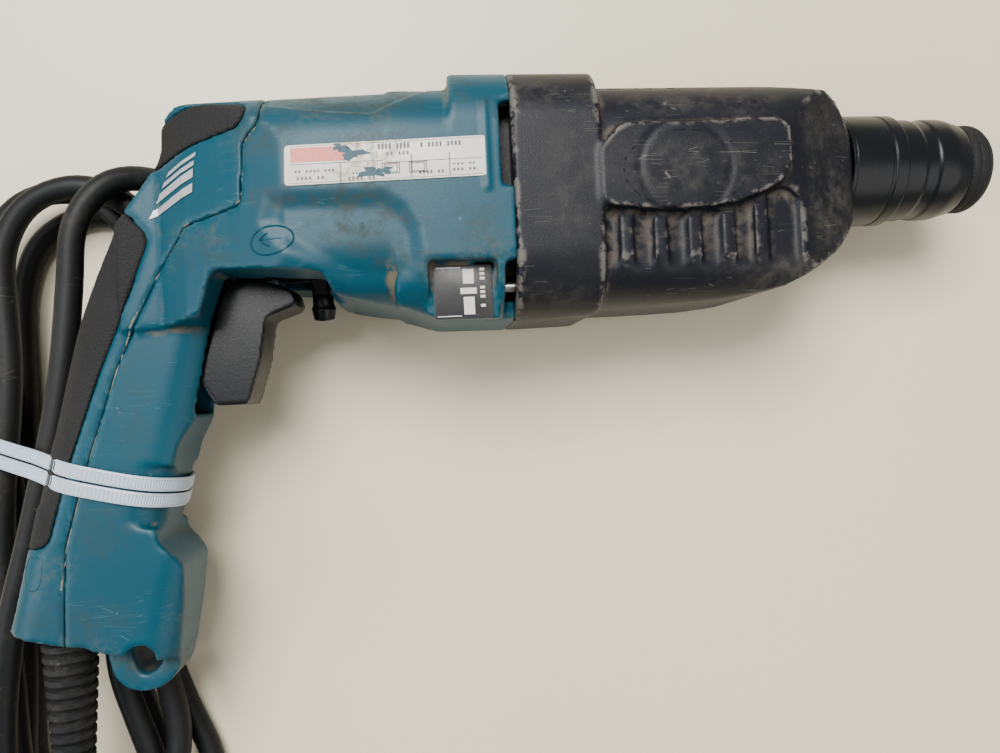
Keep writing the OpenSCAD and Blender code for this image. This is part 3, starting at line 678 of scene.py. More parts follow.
class Finishes:
    """Every finish of the tool."""

    # teal: the colour after the dirt colour is the dark colour of the handled grime and painted shade
    # patches
    TEAL = Finish("teal moulded plastic", (0.0022, 0.046, 0.072), (0.001, 0.008, 0.010),
                  (0.05, 0.13, 0.15), (0.10, 0.085, 0.055),
                  (0.024, 0.032, 0.026), rough=0.38, edge=0.3, grime=0.8, smudge=0.5, speck=0.12,
                  scratch=0.35, grain=1400.0, bump=0.06, specular=0.22)
    BLACK_HOUSING = Finish("scuffed black housing", (0.0045, 0.0052, 0.0085), (0.002, 0.002, 0.003),
                           (0.11, 0.10, 0.09), (0.085, 0.07, 0.055),
                           (0.040, 0.037, 0.033), rough=0.42, edge=0.8, grime=0.5, smudge=0.22, speck=0.3,
                           scratch=0.45, grain=1500.0, bump=0.12,
                           specular=0.22)
    SATIN_BLACK = Finish("satin black plastic", (0.0035, 0.0042, 0.0058), (0.002, 0.002, 0.002),
                         (0.06, 0.06, 0.058), (0.08, 0.07, 0.055),
                         specular=0.25, rough=0.3, edge=0.3, grime=0.5, smudge=0.15, speck=0.12,
                         scratch=0.3, grain=1200.0, bump=0.08)
    RUBBER = Finish("textured black rubber", (0.008, 0.008, 0.0085), (0.004, 0.004, 0.004),
                    (0.05, 0.05, 0.047), (0.07, 0.06, 0.05),
                    specular=0.2, rough=0.66, edge=0.2, grime=0.6, smudge=0.25, speck=0.3, scratch=0.0,
                    grain=1500.0, bump=0.9, grain_soft=0.3)
    CORD = Finish("cord rubber", (0.004, 0.0046, 0.0052), (0.005, 0.005, 0.0045), (0.09, 0.08, 0.065),
                  (0.075, 0.062, 0.048), specular=0.22,
                  rough=0.52, smudge=0.4, speck=0.12, scratch=0.25, grain=700.0, bump=0.12)
    STEEL = Finish("machined steel", (0.42, 0.42, 0.43), (-0.06, -0.06, -0.06), (0.6, 0.6, 0.6),
                   (0.12, 0.10, 0.07),
                   rough=0.3, metallic=1.0, smudge=0.15, speck=0.05, scratch=0.2, grain=300.0, bump=0.08,
                   brushed=(1, 12, 12))
    BRIGHT = Finish("ground steel", (0.6, 0.6, 0.61), (-0.05, -0.05, -0.05), (0.7, 0.7, 0.7), rough=0.2,
                    metallic=1.0, smudge=0.05,
                    speck=0.0, scratch=0.1, grain=900.0, bump=0.03)
    ZINC = Finish("zinc plated steel", (0.55, 0.55, 0.52), (-0.08, -0.08, -0.06), (0.7, 0.7, 0.7),
                  rough=0.32, metallic=1.0,
                  smudge=0.3, speck=0.1, scratch=0.2, grain=800.0, bump=0.1)
    ALLOY = Finish("cast alloy", (0.5, 0.5, 0.51), (-0.08, -0.08, -0.08), (0.65, 0.65, 0.65), rough=0.5,
                   metallic=0.9,
                   smudge=0.2, speck=0.1, scratch=0.1, grain=900.0, bump=0.4)
    # near black partly as a black coat and partly as painted shade, so the vent slots read dark
    CAST_BLACK_AND_VENT_SHADE = Finish("blackened casting and vent shade", (0.012, 0.012, 0.013), (0.004, 0.004, 0.004), (0.2, 0.2, 0.2),
                        rough=0.6, metallic=0.3,
                        smudge=0.2, speck=0.1, scratch=0.1, grain=900.0, bump=0.4)
    LAMINATION = Finish("steel laminations", (0.25, 0.24, 0.24), (-0.05, -0.05, -0.05), rough=0.45,
                        metallic=0.8, smudge=0.1,
                        speck=0.0, scratch=0.1, grain=900.0, bump=0.5, brushed=(6, 0.2, 0.2))
    COPPER = Finish("enamelled copper", (0.50, 0.20, 0.07), (-0.08, -0.04, -0.02), rough=0.35,
                    metallic=0.8, smudge=0.1, speck=0.0,
                    scratch=0.0, grain=1200.0, bump=0.8, brushed=(0.3, 4, 4))
    BRASS = Finish("brass", (0.6, 0.42, 0.16), (-0.05, -0.05, -0.03), rough=0.35, metallic=1.0, smudge=0.2,
                   grain=500.0, bump=0.1)
    CARBON = Finish("pressed carbon", (0.03, 0.03, 0.03), (0.01, 0.01, 0.01), rough=0.6, grain=900.0,
                    bump=0.4)
    NYLON = Finish("translucent nylon", (0.44, 0.50, 0.56), (-0.08, -0.06, -0.04), (0.8, 0.82, 0.85),
                   (0.35, 0.32, 0.27), rough=0.35,
                   edge=0.1, smudge=0.12, speck=0.05, scratch=0.05, grain=300.0, bump=0.05)
    FOIL = Finish("silver film", (0.42, 0.42, 0.44), (-0.05, -0.05, -0.05), (0.5, 0.5, 0.5),
                  (0.2, 0.18, 0.13), rough=0.38, metallic=0.35,
                  smudge=0.25, speck=0.1, scratch=0.25, grain=900.0, bump=0.05)
    LABEL = Finish("white label film", (0.66, 0.65, 0.60), (-0.10, -0.12, -0.15), (0.75, 0.74, 0.7),
                   (0.20, 0.12, 0.05), rough=0.38,
                   edge=0.0, smudge=0.9, speck=0.1, scratch=0.35, grain=700.0, bump=0.08)
    LABEL_RED = Finish("red print", (0.62, 0.09, 0.06), (-0.08, 0.02, 0.02), (0.7, 0.4, 0.35),
                       (0.25, 0.1, 0.06), rough=0.4,
                       edge=0.0, smudge=0.6, scratch=0.6, grain=700.0, bump=0.05)
    LABEL_INK = Finish("black print", (0.035, 0.035, 0.04), (0.02, 0.02, 0.02), (0.4, 0.4, 0.38),
                       (0.2, 0.14, 0.07), rough=0.45,
                       edge=0.0, smudge=0.5, scratch=0.5, grain=700.0, bump=0.05)
    LABEL_BLACK = Finish("black label film", (0.012, 0.012, 0.013), (0.006, 0.006, 0.006), (0.3, 0.3, 0.3),
                         (0.16, 0.13, 0.09), rough=0.4,
                         edge=0.0, smudge=0.3, speck=0.15, scratch=0.35, grain=700.0, bump=0.05)
    LABEL_GREY = Finish("pale print", (0.55, 0.54, 0.50), (-0.08, -0.08, -0.08), (0.6, 0.6, 0.58),
                        (0.2, 0.17, 0.12), rough=0.45,
                        edge=0.0, smudge=0.5, scratch=0.3, grain=700.0, bump=0.05)
    DUST = Finish("packed dust", (0.20, 0.18, 0.13), (-0.10, -0.08, -0.06), (0.27, 0.25, 0.2),
                  (0.2, 0.16, 0.1), rough=0.9, edge=0.0,
                  smudge=0.5, speck=0.3, scratch=0.0, grain=1600.0, bump=0.8)
    RED = Finish("red plastic", (0.42, 0.03, 0.02), (-0.05, 0.01, 0.01), rough=0.4, grain=900.0)
    FILM = Finish("capacitor wrap", (0.55, 0.42, 0.13), (-0.05, -0.05, -0.02), rough=0.35, grain=400.0)


def dress(obj: bpy.types.Object, finish: Finish) -> None:
    """Gives a whole piece one finish."""
    obj.data.materials.clear()
    obj.data.materials.append(finish.material())


def dress_node(name: str, finish: Finish) -> None:
    """Puts a finish in every material slot of a CAD node."""
    for slot in NODES[name].material_slots:
        slot.material = finish.material()


def settle(obj: bpy.types.Object, body: str, slot: str, finish: Finish, *replaced: str) -> bpy.types.Object:
    """Dresses a new piece, puts it on its body and hides the nodes it replaces."""
    dress(obj, finish)
    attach(obj, body)
    if replaced:
        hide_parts(*replaced)
    LOG.info("%s: %d faces on %s", obj.name, len(obj.data.polygons) if obj.type == "MESH" else 0, body)
    return obj


# ------------------------------------------------------------------ surface work
class Skin:
    """The outside of a finished shell, for laying beads and prints on it."""

    def __init__(self, *objects: bpy.types.Object) -> None:
        """Builds one search tree over the given meshes."""
        verts: list[Vector] = []
        faces: list[tuple[int, ...]] = []
        for obj in objects:
            base = len(verts)
            verts += [v.co.copy() for v in obj.data.vertices]
            faces += [tuple(base + i for i in p.vertices) for p in obj.data.polygons]
        self.tree = BVHTree.FromPolygons(verts, faces)

    def drop(self, x: float, y: float, side: Side = Side.RIGHT) -> tuple[Vector, Vector]:
        """Finds the surface under a datum (x, y) on one side.

        Args:
            x: datum millimetres.
            y: datum millimetres.
            side: which side of the tool.

        Returns:
            The place and the outward normal; the middle plane where nothing is hit.
        """
        start = DATUM.at(x, y, 60 * side.value)
        place, normal, _, _ = self.tree.ray_cast(start, Vector((0, 0, -side.value)))
        if place is None:
            return DATUM.at(x, y, 0), Vector((0, 0, side.value))
        return place, normal

    def bead(self, name: str, line: Sequence[Flat], radius: float, sink: float, side: Side = Side.RIGHT,
             closed: bool = False, per_span: int = 6, ragged: float = 0.0) -> bpy.types.Object:
        """Lays a round bead along a line on the surface.

        Args:
            name: the piece's name.
            line: datum (x, y) points.
            radius: bead radius in millimetres.
            sink: how far its middle lies under the surface, in millimetres.
            side: which side of the tool.
            closed: whether the line is a ring.
            per_span: points laid between two given ones.
            ragged: how unevenly wide it is, 0 to 1.

        Returns:
            The bead.
        """
        route = []
        for p in catmull([(x, y, 0) for x, y in line], per_span, closed):
            place, normal = self.drop(p.x, p.y, side)
            route.append(place - normal * sink * MM)
        obj = tube_along(name, route, radius * MM, 6, closed)
        if ragged:
            co = read_points(obj)
            ring = np.arange(len(co)) // 6
            width = 1 + ragged * np.sin(ring * 1.7) * np.cos(ring * 0.61 + 1.3)
            middle = np.array([co[ring == k].mean(0) for k in range(ring.max() + 1)])[ring]
            write_points(obj, middle + (co - middle) * width[:, None])
        return obj


def line_distance(points: np.ndarray, line: Sequence[Flat], closed: bool = False) -> np.ndarray:
    """Measures each (x, y) point's distance to a line of segments."""
    corners = np.array(line, float)
    ends = np.roll(corners, -1, 0) if closed else corners[1:]
    starts = corners if closed else corners[:-1]
    best = np.full(len(points), 1e9)
    for a, b in zip(starts, ends):
        ab = b - a
        t = np.clip(((points - a) @ ab) / max(ab @ ab, 1e-9), 0, 1)
        best = np.minimum(best, np.linalg.norm(points - (a + t[:, None] * ab), axis=1))
    return best


def inside(points: np.ndarray, outline: Sequence[Flat]) -> np.ndarray:
    """Tells which (x, y) points lie inside an outline."""
    corners = np.array(outline, float)
    x, y = points.T
    result = np.zeros(len(points), bool)
    for (ax, ay), (bx, by) in zip(corners, np.roll(corners, -1, 0)):
        crosses = (ay > y) != (by > y)
        with np.errstate(divide="ignore", invalid="ignore"):
            result ^= crosses & (x < (bx - ax) * (y - ay) / (by - ay) + ax)
    return result


def signed(points: np.ndarray, outline: Sequence[Flat]) -> np.ndarray:
    """Distance to an outline, positive inside."""
    distance = line_distance(points, outline, True)
    return np.where(inside(points, outline), distance, -distance)


def push(obj: bpy.types.Object, depth: Callable[[np.ndarray], np.ndarray],
         sides: Iterable[Side] = (Side.RIGHT,)) -> None:
    """Moves surface points along their normals.

    Args:
        obj: the shell.
        depth: gives millimetres outwards for datum points (x, y, z).
        sides: the sides of the tool that are worked on.
    """
    co = read_points(obj)
    normals = np.empty(len(co) * 3)
    obj.data.vertices.foreach_get("normal", normals)
    normals = normals.reshape(-1, 3)
    datum = DATUM.to_datum(co)
    move = depth(datum)
    facing = np.zeros(len(co))
    for side in sides:
        facing = np.maximum(facing, smoothstep(0.15, 0.6,
                                               normals[:, 2] * side.value) * (datum[:, 2] * side.value > 8))
    write_points(obj, co + normals * (move * facing * MM)[:, None])


# ------------------------------------------------------------------ sub-assemblies
@dataclass
class Shells:
    """Teal motor housing and handle cover, black gear housing and the rubber pads."""

    voxel: float = 1.0
    pad_voxel: float = 0.8
    limit: int = 185000
    scoop: tuple[Flat, ...] = ((-79, -13.2), (-60, -13.3), (-42, -13.4), (-35, -18), (-31.1, -25.2),
                               (-30, -36.7), (-33, -42),
                               (-38.5, -44.7), (-53.9, -43.5), (-66, -36), (-76, -30), (-82, -22))
    shoulder: tuple[Flat, ...] = ((-120, 9), (-100, 17.2), (-84, 18), (-60, 13.6), (-45, 12.3),
                                  (-36.3, 17.4), (-27, 23.4), (-18.6, 27.7),
                                  (-16, 45), (-120, 45))
    seam: tuple[Flat, ...] = ((-80.5, 18.4), (-81.3, 9.7), (-84.4, 5.8), (-86.6, 1.2), (-87.3, -11.7),
                              (-91, -16.6), (-106.2, -19.9),
                              (-108.1, -21.8), (-117, -32), (-127.2, -49.5), (-134, -66.1),
                              (-140.9, -86.3), (-147, -106.4),
                              (-152.2, -125.5), (-154.1, -138))
    # dark patches: handled grime, and painted shade where the body curves under around the scoop
    teal_grime_and_shade_blots: tuple[tuple[float, ...], ...] = (
        (-52, 17, 38, 8, 0.85), (-80, 8, 14, 12, 0.6), (-48, -24, 22, 12, 0.9), (-36, -36, 14, 8, 0.7),
        (-14, -28, 14, 16, 0.45),
        (-62, -14, 30, 6, 0.8), (-100, -30, 16, 8, 0.4), (-140, -118, 12, 16, 0.35),
        (-150, -150, 22, 10, 0.5), (-128, -80, 8, 30, 0.3),
        (-14, 18, 14, 10, 0.5), (-131, -166, 16, 8, 0.9))
    gear_blots: tuple[tuple[float, ...], ...] = (
        (8, 22, 18, 10, 0.8), (18, -10, 12, 34, 0.55), (60, 18, 50, 8, 0.7), (112, -20, 14, 24, 0.9),
        (96, -44, 26, 8, 0.9),
        (58, -8, 40, 12, 0.55), (10, -50, 18, 8, 0.7), (110, 8, 16, 14, 0.6))
    pieces: dict[str, bpy.types.Object] = field(default_factory=dict)

    def shell(self, name: str, node: str, voxel: float, rounds: int) -> bpy.types.Object:
        """Makes an evenly meshed, softly rounded copy of a CAD shell."""
        obj = copy_nodes(name, node)
        remesh(obj, voxel)
        smooth_points(obj, rounds)
        return obj

    def finish(self, obj: bpy.types.Object, slot: str, finish: Finish, node: str, gain: float = 1.0,
               blots: Sequence[tuple[float, ...]] = ()) -> None:
        """Marks wear with the blots' handled grime and painted shade patches, thins and dresses a shell."""
        mark_wear_and_shade(obj, gain=gain, blots=blots)
        triangles = 2 * len(obj.data.polygons)
        if triangles > self.limit:
            thin_out(obj, self.limit / triangles)
        shade_smooth(obj)
        settle(obj, "tool", slot, finish, node)
        self.pieces[node] = obj

    def build(self) -> None:
        """Builds every shell."""
        self.motor()
        self.cover()
        self.gears()
        self.pads()

    def motor(self) -> None:
        """Motor housing: scoop under the label, sharp shoulder above it, vent frame."""
        obj = self.shell("motor_shell", "motor_housing", self.voxel, 3)

        def depth(p: np.ndarray) -> np.ndarray:
            """Gives the relief of the right side."""
            flat = p[:, :2]
            scoop = -1.7 * smoothstep(-1.5, 5.5, signed(flat, self.scoop))
            shoulder = -1.1 * smoothstep(-0.6, 1.2, signed(flat, self.shoulder)) * (p[:, 0] < -19)
            frame = 0.55 * (1 - smoothstep(0.5, 1.3, np.abs(p[:, 0] + 8.6))) * (np.abs(p[:, 1] - 1.5) < 15)
            return scoop + shoulder + frame

        push(obj, depth, (Side.RIGHT,))
        self.finish(obj, "teal_plastic", Finishes.TEAL, "motor_housing", blots=self.teal_grime_and_shade_blots)

    def cover(self) -> None:
        """Handle cover behind the seam."""
        obj = self.shell("cover_shell", "handle_cover", self.voxel, 3)

        def depth(p: np.ndarray) -> np.ndarray:
            """Gives fine upright ribs near the seam."""
            near = (1 - smoothstep(2.5, 4.0, np.abs(p[:, 0] + 90.5))) * (np.abs(p[:, 1] - 5) < 11)
            return -0.25 * near * (0.5 + 0.5 * np.sin(p[:, 1] * 2.1))

        push(obj, depth)
        self.finish(obj, "teal_plastic", Finishes.TEAL, "handle_cover", blots=self.teal_grime_and_shade_blots)

    def gears(self) -> None:
        """Gear housing: ringed side pad, ribs with rubbed edges."""
        obj = self.shell("gear_shell", "gear_housing", self.voxel, 2)

        def depth(p: np.ndarray) -> np.ndarray:
            """Gives the faint ring of the side pad."""
            radius = np.hypot(p[:, 0] - 57.3, p[:, 1] + 7.5)
            return -0.3 * (1 - smoothstep(0.6, 1.6, np.abs(radius - 15.5))) * (np.abs(p[:, 2]) > 36.5)

        push(obj, depth, (Side.RIGHT, Side.LEFT))
        self.finish(obj, "black_housing", Finishes.BLACK_HOUSING, "gear_housing", blots=self.gear_blots)

    def pads(self) -> None:
        """Soft rubber pads of the grip."""
        for node in ("rear_grip_pad", "top_grip_pad"):
            obj = self.shell(node.replace("_pad", "_rubber"), node, self.pad_voxel, 6)
            self.finish(obj, "black_rubber", Finishes.RUBBER, node)


@dataclass
class Relief:
    """Raised and dusty lines laid on the shells."""

    shells: Shells
    arrow_middle: Flat = (-78.5, -28.0)

    def build(self) -> None:
        """Lays the dusty joints, the raised oval with its arrow and the grip marks."""
        skin = Skin(self.shells.pieces["motor_housing"], self.shells.pieces["handle_cover"])
        gear = Skin(self.shells.pieces["gear_housing"])
        dusty = []
        for side in (Side.RIGHT, Side.LEFT):
            dusty.append(skin.bead("seam", self.shells.seam, 0.4, 0.33, side, ragged=0.3))
        settle(join_pieces("seam_dust", dusty), "tool", "teal_plastic", Finishes.DUST)
        x, y = self.arrow_middle
        oval = [(x + (6.2 + (1.2 if c > 0 else 0)) * c, y + 4.6 * s + 0.8 * c) for c, s in
                ((math.cos(a), math.sin(a)) for a in (math.tau * k / 16 for k in range(16)))]
        raised = [skin.bead("oval", oval, 0.34, 0.1, closed=True),
                  skin.bead("shaft", [(x + 3.6, y + 0.6), (x, y + 0.4), (x - 3.0, y + 0.2)], 0.34, 0.1),
                  skin.bead("barb", [(x - 0.6, y + 2.3), (x - 3.4, y + 0.2), (x - 0.4, y - 2.0)], 0.34,
                            0.1, per_span=2)]
        square = [(-165.4, -127.4), (-160.2, -128.2), (-161.4, -137.0), (-166.6, -136.2)]
        raised.append(skin.bead("square", square, 0.3, 0.12, closed=True, per_span=3))
        settle(join_pieces("moulded_marks", raised), "tool", "teal_plastic", Finishes.TEAL)
        pad = [(57.3 + 21 * math.cos(a), -8.5 + 13 * math.sin(a))
               for a in (math.tau * k / 20 for k in range(20))]
        worn = gear.bead("pad_ring", pad, 0.22, 0.16, closed=True, ragged=0.7)
        settle(worn, "tool", "black_housing", Finishes.BLACK_HOUSING)


@dataclass
class Prints:
    """Rating label, serial label and silver stripes, with ruled boxes and blocks only."""

    shells: Shells
    label: tuple[tuple[float, float, float], ...] = ((-73, -11.4, 1.5), (-8.6, -9.2, 1.5),
                                                     (-8.6, 3.9, 1.5), (-72.6, 1.4, 1.5))
    top: float = 37.92

    def place(self, u: float, v: float) -> Flat:
        """Turns label places, 0 to 1 along and up, into datum (x, y)."""
        low = (-73 + 64.4 * u, -11.4 + 2.2 * u)
        high = (-72.6 + 64 * u, 1.4 + 2.5 * u)
        return (low[0] + (high[0] - low[0]) * v, low[1] + (high[1] - low[1]) * v)

    def box(self, name: str, u0: float, v0: float, u1: float, v1: float,
            rise: float = 0.04) -> bpy.types.Object:
        """Makes one printed block."""
        corners = [self.place(u0, v0), self.place(u1, v0), self.place(u1, v1), self.place(u0, v1)]
        return plate(name, corners, self.top, self.top + rise)

    def patch(self, name: str, u: float, v: float, size: float, seed: int, rise: float) -> bpy.types.Object:
        """Makes one ragged torn patch."""
        middle = self.place(u, v)
        outline = []
        for k in range(18):
            a = math.tau * k / 18
            r = size * (0.75 + 0.3 * math.sin(3 * a + seed) + 0.18 * math.sin(7 * a + 2 * seed))
            outline.append((middle[0] + 1.5 * r * math.cos(a), middle[1] + 0.62 * r * math.sin(a)))
        return plate(name, outline, self.top, self.top + rise)

    def build(self) -> None:
        """Builds the labels and stripes."""
        settle(plate("rating_film", rounded(self.label), self.top - 0.35, self.top, 0.08), "tool",
               "label_white", Finishes.LABEL, "rating_label")
        settle(self.box("red_band", 0.03, 0.56, 0.30, 0.92), "tool", "label_white", Finishes.LABEL_RED)
        ink = []
        for u0, v0, u1, v1 in ((0.44, 0.78, 0.64, 0.92), (0.67, 0.78, 0.9, 0.9), (0.04, 0.12, 0.20, 0.2),
                               (0.05, 0.3, 0.25, 0.36),
                               (0.31, 0.06, 0.45, 0.14), (0.33, 0.2, 0.48, 0.24), (0.66, 0.12, 0.79, 0.2),
                               (0.5, 0.62, 0.62, 0.7),
                               (0.83, 0.15, 0.95, 0.22), (0.83, 0.3, 0.95, 0.35)):
            strokes = max(2, int((u1 - u0) / 0.018))
            for k in range(strokes):
                if (k * 7 + int(u0 * 100)) % 5 == 4:
                    continue
                a = u0 + (u1 - u0) * k / strokes
                ink.append(self.box("ink", a, v0, a + 0.010, v1))
        for u0, v0, u1, v1 in ((0.50, 0.44, 0.98, 0.455), (0.27, 0.0, 0.275, 0.5),
                               (0.03, 0.5, 0.48, 0.515), (0.62, 0.04, 0.625, 0.62),
                               (0.81, 0.04, 0.815, 0.62), (0.02, 0.04, 0.98, 0.05),
                               (0.02, 0.95, 0.98, 0.96)):
            ink.append(self.box("rule", u0, v0, u1, v1))
        for u, v in ((0.52, 0.30), (0.655, 0.30)):
            for grow in (0.0, 0.012):
                w, h = 0.045 - grow, 0.14 - 2.4 * grow
                for a, b, c, d in ((u - w, v - h, u + w, v - h + 0.02), (u - w, v + h - 0.02, u + w, v + h),
                                   (u - w, v - h, u - w + 0.005, v + h),
                                   (u + w - 0.005, v - h, u + w, v + h)):
                    ink.append(self.box("frame", a, b, c, d))
        settle(join_pieces("rating_print", ink), "tool", "label_black", Finishes.LABEL_INK)
        torn = [self.patch("torn", *p) for p in ((0.33, 0.72, 3.6, 1, 0.06), (0.42, 0.22, 3.2, 3, 0.06),
                                                 (0.49, 0.26, 2.2, 5, 0.06),
                                                 (0.27, 0.9, 2.0, 2, 0.06))]
        settle(join_pieces("torn_patches", torn), "tool", "teal_plastic", Finishes.TEAL)
        serial = plate("serial_film", rounded(((-27.5, -54.8, 1.2), (-8, -54.8, 1.2), (-8, -37, 1.2),
                                               (-27.5, -37, 1.2))), 31.0, 31.4, 0.08)
        settle(serial, "tool", "label_black", Finishes.LABEL_BLACK, "serial_label")
        pale = []
        for x0, y0, x1, y1 in ((-17.8, -43.2, -14.2, -38.4), (-17.8, -53.4, -14.2, -47.6),
                               (-18.8, -46.6, -13.4, -44.6)):
            pale.append(plate("block", [(x0, y0), (x1, y0), (x1, y1), (x0, y1)], 31.4, 31.44))
        for k in range(9):
            y = -39.0 - 1.5 * k
            if k in (3, 7):
                continue
            pale.append(plate("mark", [(-12.2, y), (-10.6, y), (-10.6, y + 0.9), (-12.2, y + 0.9)], 31.4,
                              31.44))
        for y in (-38.0, -54.0):
            pale.append(plate("rule", [(-26.6, y), (-18.6, y), (-18.6, y + 0.25), (-26.6, y + 0.25)], 31.4,
                              31.44))
        settle(join_pieces("serial_print", pale), "tool", "label_white", Finishes.LABEL_GREY)
        dress_node("silver_stripes", Finishes.FOIL)


@dataclass
class Chuck:
    """Collar, pull-back cover and front cap with their turned steps."""

    collar: float = 20.8
    sleeve: float = 19.2
    cap: float = 16.8

    def build(self) -> None:
        """Turns the three visible rings."""
        c, s, q = self.collar, self.sleeve, self.cap
        ring = spun("collar_ring", soft_profile([(19.6, 127.0, 0), (c - 0.1, 127.0, 0.1),
                                                 (c - 0.1, 128.2, 0.2), (c, 128.5, 0.1),
                                                 (c, 142.0, 0.2), (c - 0.35, 142.3, 0.2),
                                                 (c - 0.35, 143.4, 0.2), (c, 143.7, 0.2),
                                                 (c, 148.3, 0.5), (19.9, 148.9, 0.3), (19.6, 148.9, 0)]))
        self.finish(ring, "tool", Finishes.SATIN_BLACK, "barrel_collar")
        sleeve = spun("pull_sleeve", soft_profile([(17.6, 146.6, 0), (s - 0.7, 146.6, 0.3),
                                                   (s, 147.3, 0.4), (s, 156.0, 0.8),
                                                   (s - 0.55, 157.2, 0.8), (s - 0.55, 161.2, 0.8),
                                                   (s, 162.4, 0.8), (s, 169.0, 1.6),
                                                   (17.5, 175.2, 1.0), (16.6, 176.0, 0.5),
                                                   (12.6, 176.0, 0.1), (12.6, 173.5, 0.1),
                                                   (13.2, 172.8, 0.1), (13.0, 167.6, 0.1),
                                                   (11.0, 158.6, 0.1), (11.0, 155.0, 0.1),
                                                   (14.6, 155.0, 0.1), (14.6, 154.0, 0.1),
                                                   (17.6, 151.5, 0.1)]))
        self.finish(sleeve, "cover_sleeve", Finishes.SATIN_BLACK, "chuck_sleeve")
        cap = spun("nose_cap", soft_profile([(10.82, 176.4, 0), (15.8, 176.4, 0.3), (q, 177.6, 0.6),
                                             (q, 179.2, 0.3), (q - 0.3, 179.5, 0.2),
                                             (q - 0.3, 180.1, 0.2), (q, 180.4, 0.2), (q, 183.0, 1.2),
                                             (q - 2.0, 185.7, 1.0),
                                             (13.0, 186.4, 0.8), (6.6, 186.4, 0.3), (6.0, 186.0, 0.1),
                                             (6.0, 185.6, 0.1), (10.82, 185.6, 0)]))
        self.finish(cap, "spindle", Finishes.RUBBER, "front_cap")

    def finish(self, obj: bpy.types.Object, body: str, finish: Finish, node: str) -> None:
        """Dresses a turned ring."""
        slot = "black_rubber" if node == "front_cap" else "black_plastic"
        settle(obj, body, slot, finish, node)


@dataclass
class Controls:
    """Trigger, reversing lever, lock button and mode knob."""

    def soften(self, name: str, node: str, body: str, voxel: float, rounds: int,
               finish: Finish) -> bpy.types.Object:
        """Makes a smooth moulded copy of a control."""
        obj = copy_nodes(name, node)
        remesh(obj, voxel)
        smooth_points(obj, rounds)
        mark_wear_and_shade(obj, 8)
        shade_smooth(obj)
        return settle(obj, body, "black_plastic", finish, node)

    def build(self) -> None:
        """Builds the controls."""
        obj = copy_nodes("trigger_blade", "trigger")
        remesh(obj, 0.7)
        smooth_points(obj, 6)
        co = read_points(obj)
        datum = DATUM.to_datum(co)
        edge = np.abs(datum[:, 2]) / 10
        # the finger face is crowned across its width
        normals = np.empty(len(co) * 3)
        obj.data.vertices.foreach_get("normal", normals)
        normals = normals.reshape(-1, 3)
        front = smoothstep(0.1, 0.7, normals[:, 0]) * (datum[:, 0] > -100)
        co[:, 0] -= front * (0.9 * edge ** 2) * MM
        write_points(obj, co)
        mark_wear_and_shade(obj, 8)
        shade_smooth(obj)
        settle(obj, "trigger_body", "black_plastic", Finishes.SATIN_BLACK, "trigger")
        self.soften("lever_knob", "reversing_lever", "reverser", 0.6, 3, Finishes.SATIN_BLACK)
        self.soften("lock_pin", "lock_button", "lock", 0.4, 3, Finishes.SATIN_BLACK)
        self.soften("mode_knob", "change_lever", "mode", 0.7, 4, Finishes.SATIN_BLACK)


